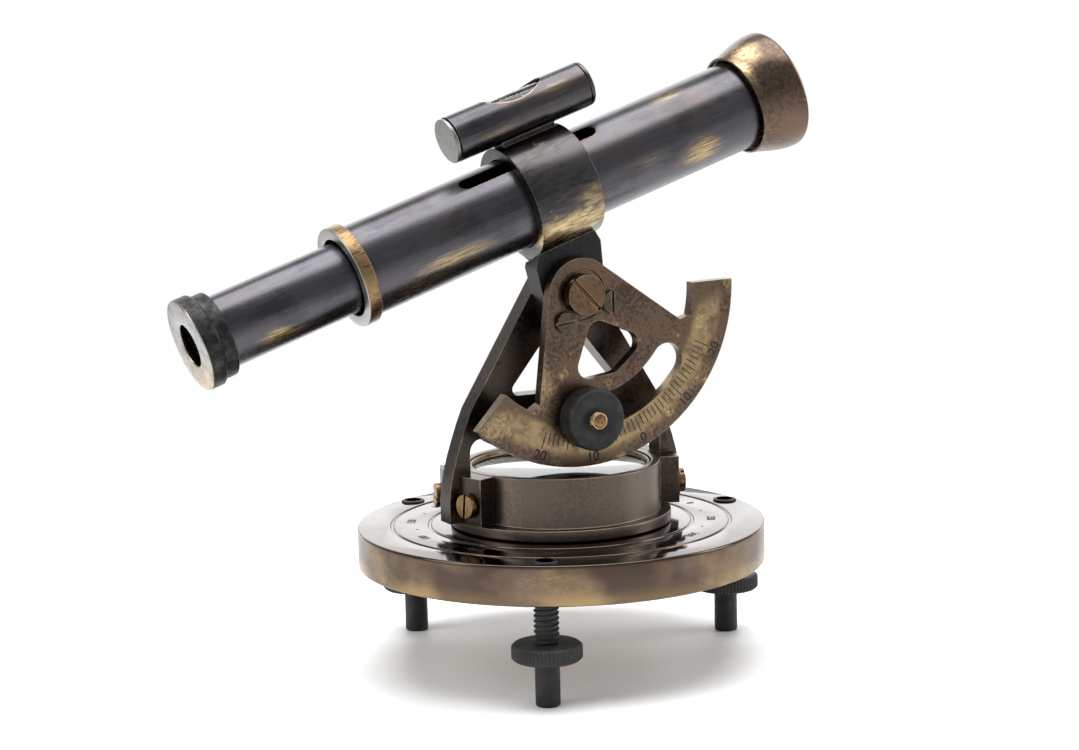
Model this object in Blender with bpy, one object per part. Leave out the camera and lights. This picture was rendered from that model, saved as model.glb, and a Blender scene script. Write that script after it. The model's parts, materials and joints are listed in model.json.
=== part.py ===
"""Table-top alidade theodolite: a telescope that slides in a collar, over an elevation quadrant
hinged to an A-frame, which turns with its compass box on a round base with three levelling screws.

The frame stands on z = 0 with +Z up. The telescope points along +X and rises towards its objective,
and the graduated quadrant faces -Y. Lengths are written in millimetres and built in metres.
"""

import math

import bmesh
import bpy
from mathutils import Matrix, Vector

MM = 0.001
GAP = 0.3  # clearance between pieces that touch on the real instrument
RUN = 0.12  # radial clearance of a running fit

# Base plate and levelling screws
PLATE_R = 50.8
PLATE_T = 9.8
PLATE_Z = 24.4  # underside of the plate above the table
GROOVES = (42.2, 32.8)  # radii of the two engraved rings
GROOVE_W = 0.9
GROOVE_D = 0.5
SCREW_PITCH_R = 46.8
SCREW_R = 3.0
SCREW_ANGLES = (-2.2, 117.8, 237.8)
FOOT_L = 11.1
KNOB_R = 8.4
KNOB_T = 3.9
THREAD_PITCH = 1.25
THREAD_DEPTH = 0.35
TOP = PLATE_Z + PLATE_T  # upper face of the plate
BASE_X = 16.496  # the azimuth axis, from the middle of the whole instrument

# Compass box
BOX_R = 25.0
BOX_H = 15.2
BOX_WALL = 2.2
BOX_FLOOR = 3.0
BOX_SIDES = 48
FLANGE_R = 27.6
FLANGE_T = 3.0
GLASS_Z = 12.6
GLASS_T = 1.0
CARD_Z = 6.2
NEEDLE_L = 18.5

# A-frame
FRAME_Y0 = -4.0  # front face of the A-frame
FRAME_Y1 = 1.5
PIVOT_Z = TOP + 58.2
HUB_R = 7.6
FOOT_PAD_R = 30.0
FOOT_PAD_ANGLE = 22.8
FOOT_SCREW_ANGLE = 15.4
FOOT_SCREW_Z = 8.3
FOOT_LOW = 3.3  # underside of the feet above the plate

# Elevation assembly, in pivot coordinates: u along the telescope, v up from the pivot
ELEVATION = 18.4  # degrees at rest
TONGUE_Y0 = -10.4
TONGUE_Y1 = FRAME_Y0 - GAP
QUAD_Y1 = TONGUE_Y0 - GAP
QUAD_Y0 = QUAD_Y1 - 3.0
QUAD_R = 42.4
QUAD_ROLL = 5.7  # degrees that the quadrant is set ahead of the telescope
RIM_R = 31.0
RIM_ANGLE = 67.0
SLOT_R0, SLOT_R1 = 25.5, 33.8
SLOT_ANGLE = 28.5  # to the centres of the slot's round ends
STUD_DROP = 30.0
SMALL_SCREW = (6.6, -4.7)  # place of the two quadrant screws from the pivot
AXIS_V = 24.9
AXIS_Y = -2.75
COLLAR_U = 3.4
COLLAR_R = 14.3
COLLAR_HALF = 8.9
STEM_TOP = (-5.0, 9.6)  # ends of the saddle under the collar

# Telescope, in its own coordinates along the axis
SCOPE_U = 3.9  # how far it stands forward of the pivot at rest
TUBE_R = 11.2
TUBE_BORE = 10.3
TUBE_U0, TUBE_U1 = -55.6, 60.2
KEY_U0, KEY_U1 = -22.9, 15.8
KEY_W = 4.2
KEY_ROLL = 25.0  # degrees from the top of the tube towards -Y
DRAW_R = 8.75
DRAW_BORE = 7.75
DRAW_U0, DRAW_U1 = -92.0, -22.0
VIAL_V = 20.4
VIAL_R = 5.65
VIAL_BORE = 5.05
VIAL_U = 3.2
VIAL_HALF = 18.4
SIGHT_LENGTH = 17.2
SIGHT_WIDTH = 8.6


def clear_scene():
    for old in list(bpy.data.objects):
        bpy.data.objects.remove(old, do_unlink=True)


def finish_of(name, colour, roughness, metallic):
    """A Principled material."""
    mat = bpy.data.materials.new(name)
    mat.use_nodes = True
    shader = mat.node_tree.nodes["Principled BSDF"]
    shader.inputs["Base Color"].default_value = (*colour, 1.0)
    shader.inputs["Roughness"].default_value = roughness
    shader.inputs["Metallic"].default_value = metallic
    return mat


def new_object(name, bm, material, parent=None, smooth=True):
    """Turns a bmesh in millimetres into a named object in metres."""
    bmesh.ops.scale(bm, vec=(MM, MM, MM), verts=bm.verts)
    bmesh.ops.recalc_face_normals(bm, faces=bm.faces)
    mesh = bpy.data.meshes.new(name)
    bm.to_mesh(mesh)
    bm.free()
    if smooth:
        mesh.shade_smooth()
        mesh.set_sharp_from_angle(angle=math.radians(35))
    mesh.materials.append(material)
    obj = bpy.data.objects.new(name, mesh)
    bpy.context.scene.collection.objects.link(obj)
    obj.parent = parent
    return obj


def turned(profile, segments=48, wave=None, start=0.0):
    """A bmesh turned about Z from (radius, z) points. Radii of zero close the ends on the axis;
    a profile without them is closed into a ring. wave(angle) scales the radii of points with a third
    value, and start turns the first seam, in radians."""
    bm = bmesh.new()
    rings = []
    for point in profile:
        radius, z = point[0], point[1]
        waved = len(point) > 2
        if radius == 0:
            rings.append([bm.verts.new((0, 0, z))])
            continue
        ring = []
        for i in range(segments):
            angle = 2 * math.pi * i / segments
            r = radius * wave(angle) if waved else radius
            turn = angle + start
            ring.append(bm.verts.new((r * math.cos(turn), r * math.sin(turn), z)))
        rings.append(ring)
    pairs = list(zip(rings, rings[1:]))
    if profile[0][0] > 0:
        pairs.append((rings[-1], rings[0]))
    for lower, upper in pairs:
        for i in range(segments):
            j = (i + 1) % segments
            corners = [lower[i % len(lower)], lower[j % len(lower)], upper[j % len(upper)], upper[i % len(upper)]]
            bm.faces.new(list(dict.fromkeys(corners)))
    return bm


def knurl(teeth, depth):
    """Radius factor of straight knurling."""

    def factor(angle):
        return 1.0 - depth * (0.5 - 0.5 * math.cos(teeth * angle))

    return factor


def prism(outline, low, high, axis="Y"):
    """A bmesh of an outline extruded along an axis from low to high. The outline's points are
    (x, z) for an extrusion along Y, (x, y) along Z and (y, z) along X."""
    place = {"X": lambda a, b, t: (t, a, b), "Y": lambda a, b, t: (a, t, b), "Z": lambda a, b, t: (a, b, t)}[axis]
    bm = bmesh.new()
    near = [bm.verts.new(place(a, b, low)) for a, b in outline]
    far = [bm.verts.new(place(a, b, high)) for a, b in outline]
    bm.faces.new(near)
    bm.faces.new(reversed(far))
    for i in range(len(outline)):
        j = (i + 1) % len(outline)
        bm.faces.new((near[j], near[i], far[i], far[j]))
    return bm


def arc(cx, cz, radius, start, end, steps):
    """Points on a circle, angles in degrees."""
    points = []
    for i in range(steps + 1):
        angle = math.radians(start + (end - start) * i / steps)
        points.append((cx + radius * math.cos(angle), cz + radius * math.sin(angle)))
    return points


def rounded(corners, radius, steps=4):
    """A closed outline with each corner replaced by an arc of that radius."""
    points = []
    count = len(corners)
    for i in range(count):
        here = Vector(corners[i])
        back = (Vector(corners[i - 1]) - here).normalized()
        ahead = (Vector(corners[(i + 1) % count]) - here).normalized()
        half = back.angle(ahead) / 2
        centre = here + (back + ahead).normalized() * (radius / math.sin(half))
        first = here + back * (radius / math.tan(half)) - centre
        last = here + ahead * (radius / math.tan(half)) - centre
        turn = first.angle_signed(last)
        for k in range(steps + 1):
            spoke = first.copy()
            spoke.rotate(Matrix.Rotation(-turn * k / steps, 2))
            points.append(tuple(centre + spoke))
    return points


def cut(target, cutter, operation="DIFFERENCE"):
    """Applies a cutter object to the target as an exact Boolean, and hides the cutter."""
    modifier = target.modifiers.new(cutter.name, "BOOLEAN")
    modifier.object = cutter
    modifier.operation = operation
    modifier.solver = "EXACT"
    cutter.hide_render = True
    cutter.display_type = "WIRE"


def tool(name, bm, parent=None):
    """An object used only to cut or join others."""
    return new_object("tool_" + name, bm, MAT["steel"], parent)


def rod(radius, length, segments=20, start=0.05):
    """A cylinder along Z from 0 to length."""
    return turned([(0, 0), (radius, 0), (radius, length), (0, length)], segments, None, start)


def along(direction):
    """Rotation that carries +Z to a direction."""
    return Vector((0, 0, 1)).rotation_difference(Vector(direction)).to_matrix().to_4x4()


def placed(bm, direction, origin):
    """Turns a bmesh built along +Z so that it points along direction, from origin."""
    bmesh.ops.transform(bm, matrix=Matrix.Translation(origin) @ along(direction), verts=bm.verts)
    return bm


def empty(name, location, parent=None, tilt=0.0):
    """A joint's frame, tilted about Y so that +X rises."""
    frame = bpy.data.objects.new(name, None)
    bpy.context.scene.collection.objects.link(frame)
    frame.parent = parent
    frame.location = Vector(location) * MM
    frame.rotation_euler = (0, -math.radians(tilt), 0)
    return frame


def slotted_screw(head_r, head_t, shank_r, shank_l, slot_w, segments=16):
    """A cheese-head screw along Z: its head starts at z = 0 and its shank runs down. The slot
    is cut by closing the head's top face around a straight channel."""
    bevel = 0.12 * head_r
    bm = turned(
        [(0, -shank_l), (shank_r, -shank_l), (shank_r, 0), (head_r, 0), (head_r, head_t - bevel),
         (head_r - bevel, head_t), (0, head_t)],
        segments,
    )
    channel = bmesh.new()
    size = Matrix.Diagonal((head_r * 2.4, slot_w, head_t, 1))
    bmesh.ops.create_cube(channel, size=1, matrix=Matrix.Translation((0, 0, head_t)) @ size)
    return bm, channel


def add_screw(name, sizes, direction, origin, spin, material, parent):
    """A slotted screw whose head's underside is at origin and faces direction."""
    bm, channel = slotted_screw(*sizes)
    for piece in (bm, channel):
        bmesh.ops.rotate(piece, matrix=Matrix.Rotation(math.radians(spin), 3, "Z"), verts=piece.verts)
        placed(piece, direction, origin)
    screw = new_object(name, bm, material, parent)
    cut(screw, tool(name + "_slot", channel, parent))
    return screw


def make_materials():
    return {
        "bronze": finish_of("dark_bronze", (0.075, 0.055, 0.042), 0.34, 0.9),
        "gunmetal": finish_of("gunmetal", (0.055, 0.052, 0.060), 0.26, 0.9),
        "brass": finish_of("worn_brass", (0.55, 0.38, 0.17), 0.35, 1.0),
        "copper": finish_of("brown_brass", (0.23, 0.14, 0.075), 0.35, 1.0),
        "black": finish_of("blackened_steel", (0.022, 0.022, 0.024), 0.5, 0.6),
        "steel": finish_of("steel", (0.55, 0.55, 0.57), 0.3, 1.0),
        "dial": finish_of("dial_card", (0.86, 0.85, 0.81), 0.6, 0.0),
        "needle": finish_of("blued_needle", (0.05, 0.07, 0.16), 0.3, 0.9),
        "glass": finish_of("clear_glass", (0.9, 0.95, 0.95), 0.05, 0.0),
    }


def build_base(root):
    """Round plate with two engraved rings, a centre bore and three tapped holes."""
    bevel = 0.8
    centre_bore = 3.4
    profile = [(centre_bore, PLATE_Z), (PLATE_R - bevel, PLATE_Z), (PLATE_R, PLATE_Z + bevel),
               (PLATE_R, TOP - bevel), (PLATE_R - bevel, TOP)]
    for radius in GROOVES:
        profile += [(radius + GROOVE_W / 2, TOP), (radius, TOP - GROOVE_D), (radius - GROOVE_W / 2, TOP)]
    profile.append((centre_bore, TOP))
    plate = new_object("base_plate", turned(profile, 56), MAT["bronze"], root)
    for index, angle in enumerate(SCREW_ANGLES, 1):
        x, y = screw_place(angle)
        hole = placed(rod(SCREW_R + RUN, PLATE_T + 4), (0, 0, 1), (x, y, PLATE_Z - 2))
        cut(plate, tool(f"tapped_hole_{index}", hole, root))
    recess = placed(rod(9.0, 4.0, 28), (0, 0, 1), (0, 0, PLATE_Z - 1.0))
    cut(plate, tool("bolt_recess", recess, root))


def screw_place(angle):
    return (SCREW_PITCH_R * math.cos(math.radians(angle)), SCREW_PITCH_R * math.sin(math.radians(angle)))


def build_levelling_screw(index, angle, root):
    """A threaded stud that ends in a plain foot, and the knurled knob that turns it."""
    x, y = screw_place(angle)
    knob_z = FOOT_L
    knob_top = knob_z + KNOB_T
    end = TOP + 0.5
    frame = empty(f"levelling_screw_frame_{index}", (x, y, 0), root)
    bevel = 0.7
    core = SCREW_R - THREAD_DEPTH
    grip = SCREW_R - 0.5
    profile = [(0, 0), (SCREW_R - bevel, 0), (SCREW_R, bevel), (SCREW_R, knob_z - GAP), (grip, knob_z - GAP),
               (grip, knob_top + 0.4), (core, knob_top + 0.4)]
    z = knob_top + 0.4
    while z + THREAD_PITCH < PLATE_Z - 0.2:
        profile += [(SCREW_R, z + THREAD_PITCH * 0.5), (core, z + THREAD_PITCH)]
        z += THREAD_PITCH
    profile += [(SCREW_R, z + 0.4), (SCREW_R, end - 0.4), (SCREW_R - 0.4, end), (0, end)]
    new_object(f"levelling_stud_{index}", turned(profile, 14), MAT["black"], frame)
    teeth = 20
    chamfer = 0.6
    bore = grip + RUN
    knob = turned(
        [(bore, knob_z), (KNOB_R - chamfer, knob_z), (KNOB_R, knob_z + chamfer, 1),
         (KNOB_R, knob_top - chamfer, 1), (KNOB_R - chamfer, knob_top), (bore, knob_top)],
        teeth * 2,
        knurl(teeth, 0.045),
    )
    new_object(f"levelling_knob_{index}", knob, MAT["black"], frame)


def build_compass(root):
    """Turned box with its card, needle post, glass, retaining ring and centre bolt."""
    inner = BOX_R - BOX_WALL
    seat = GLASS_Z
    box = [
        (2.1, 0.3), (FLANGE_R, 0.3), (FLANGE_R, FLANGE_T - 0.4), (FLANGE_R - 0.4, FLANGE_T), (BOX_R, FLANGE_T),
        (BOX_R, BOX_H - 0.4), (BOX_R - 0.4, BOX_H), (inner, BOX_H), (inner, seat - GAP), (inner - 1.2, seat - GAP),
        (inner - 1.2, BOX_FLOOR), (2.1, BOX_FLOOR),
    ]
    new_object("compass_box", turned([(r, TOP + z) for r, z in box], BOX_SIDES), MAT["bronze"], root)
    card_r = inner - 1.2 - GAP
    card = [(1.4, CARD_Z), (card_r, CARD_Z), (card_r, CARD_Z + 0.8), (1.4, CARD_Z + 0.8)]
    new_object("compass_card", turned([(r, TOP + z) for r, z in card], 40), MAT["dial"], root)
    rest = [(1.4, BOX_FLOOR + GAP), (card_r - 3, BOX_FLOOR + GAP), (card_r - 3, CARD_Z - GAP), (1.4, CARD_Z - GAP)]
    new_object("card_support", turned([(r, TOP + z) for r, z in rest], 24), MAT["brass"], root)
    tip = CARD_Z + 3.2
    post = [(0, BOX_FLOOR + 0.2), (1.1, BOX_FLOOR + 0.2), (1.1, CARD_Z + 1.2), (0.45, CARD_Z + 2.2), (0, tip)]
    new_object("needle_pivot", turned([(r, TOP + z) for r, z in post], 12), MAT["steel"], root)
    glass_r = inner - GAP
    glass = [(0, seat), (glass_r, seat), (glass_r, seat + GLASS_T), (0, seat + GLASS_T)]
    new_object("compass_glass", turned([(r, TOP + z) for r, z in glass], 40), MAT["glass"], root)
    low = seat + GLASS_T + 0.2
    ring = [(inner - 1.3, low), (glass_r, low), (glass_r, low + 1.0), (inner - 0.8, low + 1.0)]
    new_object("glass_ring", turned([(r, TOP + z) for r, z in ring], 40), MAT["brass"], root)
    head_z = PLATE_Z + 0.4
    bolt = [(0, head_z), (5.4, head_z), (6.0, head_z + 0.5), (6.0, head_z + 1.6), (1.95, head_z + 1.6),
            (1.95, TOP + BOX_FLOOR - 0.1), (0, TOP + BOX_FLOOR - 0.1)]
    new_object("centre_bolt", turned(bolt, 20), MAT["steel"], root)


def build_washer(root):
    """Friction washer between the plate's recess and the centre bolt's head."""
    z = PLATE_Z + 2.3
    new_object("friction_washer", turned([(2.2, z), (7.5, z), (7.5, z + 0.5), (2.2, z + 0.5)], 24), MAT["brass"], root)


def build_needle(root):
    """Slim rhombic needle with a brass cap that sits on the post's tip."""
    z0 = TOP + CARD_Z + 2.35
    z1 = z0 + 0.45
    half_w, waist = 1.9, 1.5
    outline = [(-NEEDLE_L, 0), (-waist, -half_w), (waist, -half_w), (NEEDLE_L, 0), (waist, half_w), (-waist, half_w)]
    bm = prism(outline, z0, z1, "Z")
    needle = new_object("compass_needle", bm, MAT["needle"], root, smooth=False)
    cut(needle, tool("needle_eye", placed(rod(1.0, 3, 12), (0, 0, 1), (0, 0, z0 - 1)), root))
    cap = [(0, z1 + 0.95), (0.5, z1 + 0.9), (1.55, z1 + 0.2), (1.55, z1 + 0.1), (0.95, z1 + 0.1), (0.4, z1 + 0.45),
           (0, z1 + 0.5)]
    new_object("needle_cap", turned(cap, 12), MAT["brass"], root)


def frame_outline():
    """Front outline of the A-frame: round hub, splayed legs, and a cross-bar whose lower edge
    is an arc about the pivot. Height is measured from the plate's upper face."""
    pivot_h = PIVOT_Z - TOP
    knee = (25.9, 30.8)
    reach = math.hypot(knee[0], pivot_h - knee[1])
    bearing = math.degrees(math.atan2(knee[1] - pivot_h, knee[0]))
    tangent = bearing + math.degrees(math.acos(HUB_R / reach))
    right = [(26.5, FOOT_LOW), (32.3, FOOT_LOW), (32.3, 8.5), (31.2, 15.8), (30.0, 20.0), knee]
    top = arc(0, pivot_h, HUB_R, tangent, 180 - tangent, 16)
    left = [(-x, z) for x, z in reversed(right)]
    bar_r = 41.6
    sweep = math.degrees(math.asin(20.2 / bar_r))
    arch = [(-26.5, 20.4), (-25.7, 22.4), (-24.0, 23.5), (-22.0, 23.2)]
    lower = arc(0, pivot_h, bar_r, 270 - sweep, 270 + sweep, 14)
    return right + top + left + arch + lower + [(-x, z) for x, z in reversed(arch)]


def build_a_frame(root):
    """Upright frame with a triangular window and two feet that clasp the compass box."""
    outline = [(x, z + TOP) for x, z in frame_outline()]
    frame = new_object("a_frame", prism(outline, FRAME_Y0, FRAME_Y1), MAT["bronze"], root)
    for side, start in (("right", 0.0), ("left", 180.0)):
        spread = FOOT_PAD_ANGLE
        inner, outer = BOX_R + 0.2, FOOT_PAD_R
        plan = arc(0, 0, outer, start - spread, start + spread, 12) + arc(0, 0, inner, start + spread, start - spread, 12)
        bm = prism(plan, TOP + FOOT_LOW + 0.05, TOP + 15.1, "Z")
        cut(frame, tool(f"{side}_foot_pad", bm, root), "UNION")
    window = rounded([(-16.4, 33.3), (16.4, 33.3), (1.2, 52.0), (-1.2, 52.0)], 1.1, 3)
    holes = {
        "frame_window": prism([(x, z + TOP) for x, z in window], FRAME_Y0 - 2, FRAME_Y1 + 2),
        "frame_box_bore": placed(rod(BOX_R + 0.2, BOX_H + 1.0, BOX_SIDES, 0.0), (0, 0, 1), (0, 0, TOP)),
        "frame_pivot_hole": placed(rod(2.5 + RUN, 12), (0, 1, 0), (0, FRAME_Y0 - 2, PIVOT_Z)),
        "frame_stud_hole": placed(rod(2.2, 12, 16), (0, 1, 0), (0, FRAME_Y0 - 2, PIVOT_Z - STUD_DROP)),
    }
    for name, bm in holes.items():
        cut(frame, tool(name, bm, root))
    for index, (x, y) in enumerate(foot_screw_directions(), 1):
        origin = (x * (BOX_R - 0.5), y * (BOX_R - 0.5), TOP + FOOT_SCREW_Z)
        cut(frame, tool(f"foot_screw_hole_{index}", placed(rod(1.3, 10, 12), (x, y, 0), origin), root))


def foot_screw_directions():
    directions = []
    for start in (0.0, 180.0):
        for offset in (-FOOT_SCREW_ANGLE, FOOT_SCREW_ANGLE):
            angle = math.radians(start + offset)
            directions.append((math.cos(angle), math.sin(angle)))
    return directions


def build_frame_fasteners(root):
    """Four foot screws and the fixed stud that the clamp knob turns on."""
    for index, (x, y) in enumerate(foot_screw_directions(), 1):
        reach = FOOT_PAD_R + 0.1
        origin = (x * reach, y * reach, TOP + FOOT_SCREW_Z)
        sizes = (3.0, 1.7, 1.1, FOOT_PAD_R - BOX_R - 0.4, 0.8)
        spin = (20, 95, 60, 10)[index - 1]
        add_screw(f"foot_screw_{index}", sizes, (x, y, 0), origin, spin, MAT["copper"], root)
    z = PIVOT_Z - STUD_DROP
    tip = FRAME_Y1 - (QUAD_Y0 - 8.4)
    stud = [(0, -2.4), (3.0, -2.4), (3.4, -2.0), (3.4, -0.2), (2.0, -0.2), (2.0, tip - 0.5), (1.6, tip), (0, tip)]
    bm = placed(turned(stud, 16), (0, -1, 0), (0, FRAME_Y1, z))
    new_object("clamp_stud", bm, MAT["copper"], root)


def build_clamp_knob(root):
    """Knurled thumb nut with a short hub that presses on the quadrant."""
    teeth = 22
    bore = 2.0 + RUN
    profile = [(bore, 0), (5.2, 0), (5.2, 0.6), (7.2, 0.6), (7.6, 1.0, 1), (7.6, 6.0, 1), (7.1, 6.5), (bore, 6.5)]
    bm = placed(turned(profile, teeth * 2, knurl(teeth, 0.05)), (0, -1, 0), (0, QUAD_Y0 - GAP, PIVOT_Z - STUD_DROP))
    new_object("clamp_knob", bm, MAT["black"], root)


def quadrant_outline():
    """Graduated sector: round top over the pivot, straight flanks, and a rim with two horns."""
    top_r = 8.9
    horn = 90 - RIM_ANGLE
    notch = (21.6, -18.7)
    reach = math.hypot(*notch)
    bearing = math.degrees(math.atan2(notch[1], notch[0]))
    tangent = bearing + math.degrees(math.acos(top_r / reach))
    outer = arc(0, 0, QUAD_R, 180 + horn, 360 - horn, 32)
    inner = arc(0, 0, RIM_R, -horn, -38.5, 5)
    hub = arc(0, 0, top_r, tangent, 180 - tangent, 12)
    return outer + inner + [notch] + hub + [(-notch[0], notch[1])] + [(-x, z) for x, z in reversed(inner)]


def build_quadrant(elevation):
    """The quadrant plate with its window, curved clamp slot and screw holes."""
    plane = empty("quadrant_frame", (0, 0, 0), elevation, QUAD_ROLL)
    quadrant = new_object("quadrant", prism(quadrant_outline(), QUAD_Y0, QUAD_Y1), MAT["bronze"], plane)
    window = rounded([(0, -6.4), (-11.4, -18.4), (0, -21.8), (11.4, -18.4)], 3.0, 5)
    mid = (SLOT_R0 + SLOT_R1) / 2
    half = (SLOT_R1 - SLOT_R0) / 2
    start, end = 270 - SLOT_ANGLE, 270 + SLOT_ANGLE
    ends = [(mid * math.cos(math.radians(a)), mid * math.sin(math.radians(a))) for a in (start, end)]
    slot = arc(0, 0, SLOT_R1, start, end, 14)
    slot += arc(ends[1][0], ends[1][1], half, end, end + 180, 8)[1:-1]
    slot += arc(0, 0, SLOT_R0, end, start, 14)
    slot += arc(ends[0][0], ends[0][1], half, start + 180, start + 360, 8)[1:-1]
    y0, y1 = QUAD_Y0 - 1, QUAD_Y1 + 1
    holes = {
        "quadrant_window": prism(window, y0, y1),
        "quadrant_slot": prism(slot, y0, y1),
        "quadrant_pivot_hole": placed(rod(2.5 + RUN, 6), (0, 1, 0), (0, y0, 0)),
    }
    for name, bm in holes.items():
        cut(quadrant, tool(name, bm, plane))
    for side, x in (("left", -SMALL_SCREW[0]), ("right", SMALL_SCREW[0])):
        bm = placed(rod(1.4, 6, 12), (0, 1, 0), (x, y0, SMALL_SCREW[1]))
        cut(quadrant, tool(f"quadrant_{side}_hole", bm, elevation))


def build_stem(elevation):
    """Casting that joins the quadrant to the collar: a flat tongue that widens into a saddle."""
    low, high = STEM_TOP
    tongue = [(-8.0, 9.6), (low, 14.2), (high, 14.2), (10.8, 9.6), (9.2, 3.0), (9.2, -6.8), (7.6, -8.3), (-7.6, -8.3),
              (-9.2, -6.8)]
    stem = new_object("stem", prism(tongue, TONGUE_Y0, TONGUE_Y1), MAT["gunmetal"], elevation)
    back = 3.4
    saddle = [(TONGUE_Y0, 14.2), (back, 14.2), (back, 11.6), (TONGUE_Y1, 8.1), (TONGUE_Y0, 8.1)]
    bm = prism(saddle, low, high, "X")
    cut(stem, tool("stem_saddle", bm, elevation), "UNION")
    holes = {
        "stem_collar_seat": placed(rod(COLLAR_R + 0.2, 40, 44), (1, 0, 0), (-20, AXIS_Y, AXIS_V)),
        "stem_pivot_hole": placed(rod(2.5 + RUN, 8), (0, 1, 0), (0, TONGUE_Y0 - 1, 0)),
    }
    for side, x in (("left", -SMALL_SCREW[0]), ("right", SMALL_SCREW[0])):
        holes[f"stem_{side}_hole"] = placed(rod(1.4, 3.4, 12), (0, 1, 0), (x, TONGUE_Y0 - 1, SMALL_SCREW[1]))
    for name, bm in holes.items():
        cut(stem, tool(name, bm, elevation))


def build_elevation_fasteners(elevation):
    """Pivot screw and nut, and the two screws that hold the quadrant to the stem."""
    under_head = QUAD_Y0 - 0.2
    length = FRAME_Y1 - under_head + 4.4
    add_screw("pivot_screw", (5.0, 2.6, 2.5, length, 1.3, 24), (0, -1, 0), (0, under_head, 0), 38, MAT["copper"],
              elevation)
    hexagon = prism(arc(0, 0, 4.9, 0, 300, 5), FRAME_Y1 + GAP, FRAME_Y1 + GAP + 3.4)
    nut = new_object("pivot_nut", hexagon, MAT["copper"], elevation, smooth=False)
    cut(nut, tool("nut_bore", placed(rod(2.5 + RUN, 6), (0, 1, 0), (0, FRAME_Y1 - 1, 0)), elevation))
    for side, x, spin in (("left", -SMALL_SCREW[0], 18), ("right", SMALL_SCREW[0], 100)):
        add_screw(f"quadrant_screw_{side}", (2.7, 1.3, 1.2, 5.0, 0.7), (0, -1, 0), (x, under_head, SMALL_SCREW[1]),
                  spin, MAT["copper"], elevation)


def on_axis(profile, segments=40, v=AXIS_V, u=0.0):
    """A piece turned about the telescope's axis, or one parallel to it at height v, from
    (radius, u) points moved along by u."""
    return placed(turned(profile, segments), (1, 0, 0), (u, AXIS_Y, v))


def on_scope(profile, segments=40):
    """A piece of the telescope, turned about its axis and set forward with it."""
    return on_axis(profile, segments, AXIS_V, SCOPE_U)


def rolled(bm, degrees):
    """Rolls a piece about the telescope's axis, towards -Y."""
    centre = Vector((0, AXIS_Y, AXIS_V))
    bmesh.ops.rotate(bm, cent=centre, matrix=Matrix.Rotation(math.radians(degrees), 3, "X"), verts=bm.verts)
    return bm


def build_collar(elevation):
    """Ring that the telescope slides in, with the guide key that rides in the tube's slot."""
    bore = TUBE_R + RUN
    ring = [(bore, -COLLAR_HALF), (COLLAR_R - 0.3, -COLLAR_HALF), (COLLAR_R, -COLLAR_HALF + 0.3),
            (COLLAR_R, COLLAR_HALF - 0.3), (COLLAR_R - 0.3, COLLAR_HALF), (bore, COLLAR_HALF)]
    collar = new_object("collar", on_axis(ring, u=COLLAR_U), MAT["bronze"], elevation)
    key_seat = placed(rod(1.6, 6, 16), (0, 0, 1), (COLLAR_U, AXIS_Y, AXIS_V + TUBE_R - 1))
    cut(collar, tool("key_seat", rolled(key_seat, KEY_ROLL), elevation))
    key = placed(rod(1.45, 4.3, 16), (0, 0, 1), (COLLAR_U, AXIS_Y, AXIS_V + TUBE_BORE + 0.1))
    new_object("guide_key", rolled(key, KEY_ROLL), MAT["copper"], elevation)


def build_vial(elevation):
    """Spirit level over the collar: saddle, tube with a sight opening, glass, and end plugs."""
    v = AXIS_V + VIAL_V
    saddle_top = v - VIAL_R + 0.9
    low = AXIS_V + 13.0
    saddle = [(AXIS_Y - 2.9, low), (AXIS_Y + 2.9, low), (AXIS_Y + 2.9, saddle_top), (AXIS_Y - 2.9, saddle_top)]
    bm = prism(saddle, COLLAR_U - 7.4, COLLAR_U + 7.4, "X")
    block = new_object("vial_saddle", bm, MAT["gunmetal"], elevation)
    cut(block, tool("saddle_collar_seat", placed(rod(COLLAR_R + 0.12, 30, 44), (1, 0, 0), (-15, AXIS_Y, AXIS_V)), elevation))
    cut(block, tool("saddle_vial_seat", placed(rod(VIAL_R + 0.12, 30, 36), (1, 0, 0), (-15, AXIS_Y, v)), elevation))
    ends = VIAL_HALF
    tube = [(VIAL_BORE, -ends), (VIAL_R, -ends), (VIAL_R, ends), (VIAL_BORE, ends)]
    vial = new_object("vial_tube", on_axis(tube, 32, v, VIAL_U), MAT["gunmetal"], elevation)
    opening = [(x + VIAL_U, y * SIGHT_WIDTH / SIGHT_LENGTH + AXIS_Y)
               for x, y in arc(0, 0, SIGHT_LENGTH / 2, 0, 360, 24)[:-1]]
    bm = prism(opening, v, v + 8, "Z")
    cut(vial, tool("sight_opening", bm, elevation))
    glass_r = VIAL_BORE - RUN
    reach = ends - 3.0
    glass = [(0, -reach), (glass_r - 0.6, -reach), (glass_r, -reach + 0.8), (glass_r, reach - 0.8),
             (glass_r - 0.6, reach), (0, reach)]
    new_object("vial_glass", on_axis(glass, 24, v, VIAL_U), MAT["glass"], elevation)
    plug_in = ends - 2.6
    plug = [(0, plug_in), (VIAL_BORE - RUN, plug_in), (VIAL_BORE - RUN, ends + GAP), (VIAL_R - 0.1, ends + GAP),
            (VIAL_R - 0.1, ends + 0.9), (VIAL_R - 0.5, ends + 1.3), (0, ends + 1.5)]
    new_object("vial_plug_front", on_axis(plug, 28, v, VIAL_U), MAT["gunmetal"], elevation)
    mirrored = [(r, -u) for r, u in plug]
    new_object("vial_plug_rear", on_axis(mirrored, 28, v, VIAL_U), MAT["gunmetal"], elevation)


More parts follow.
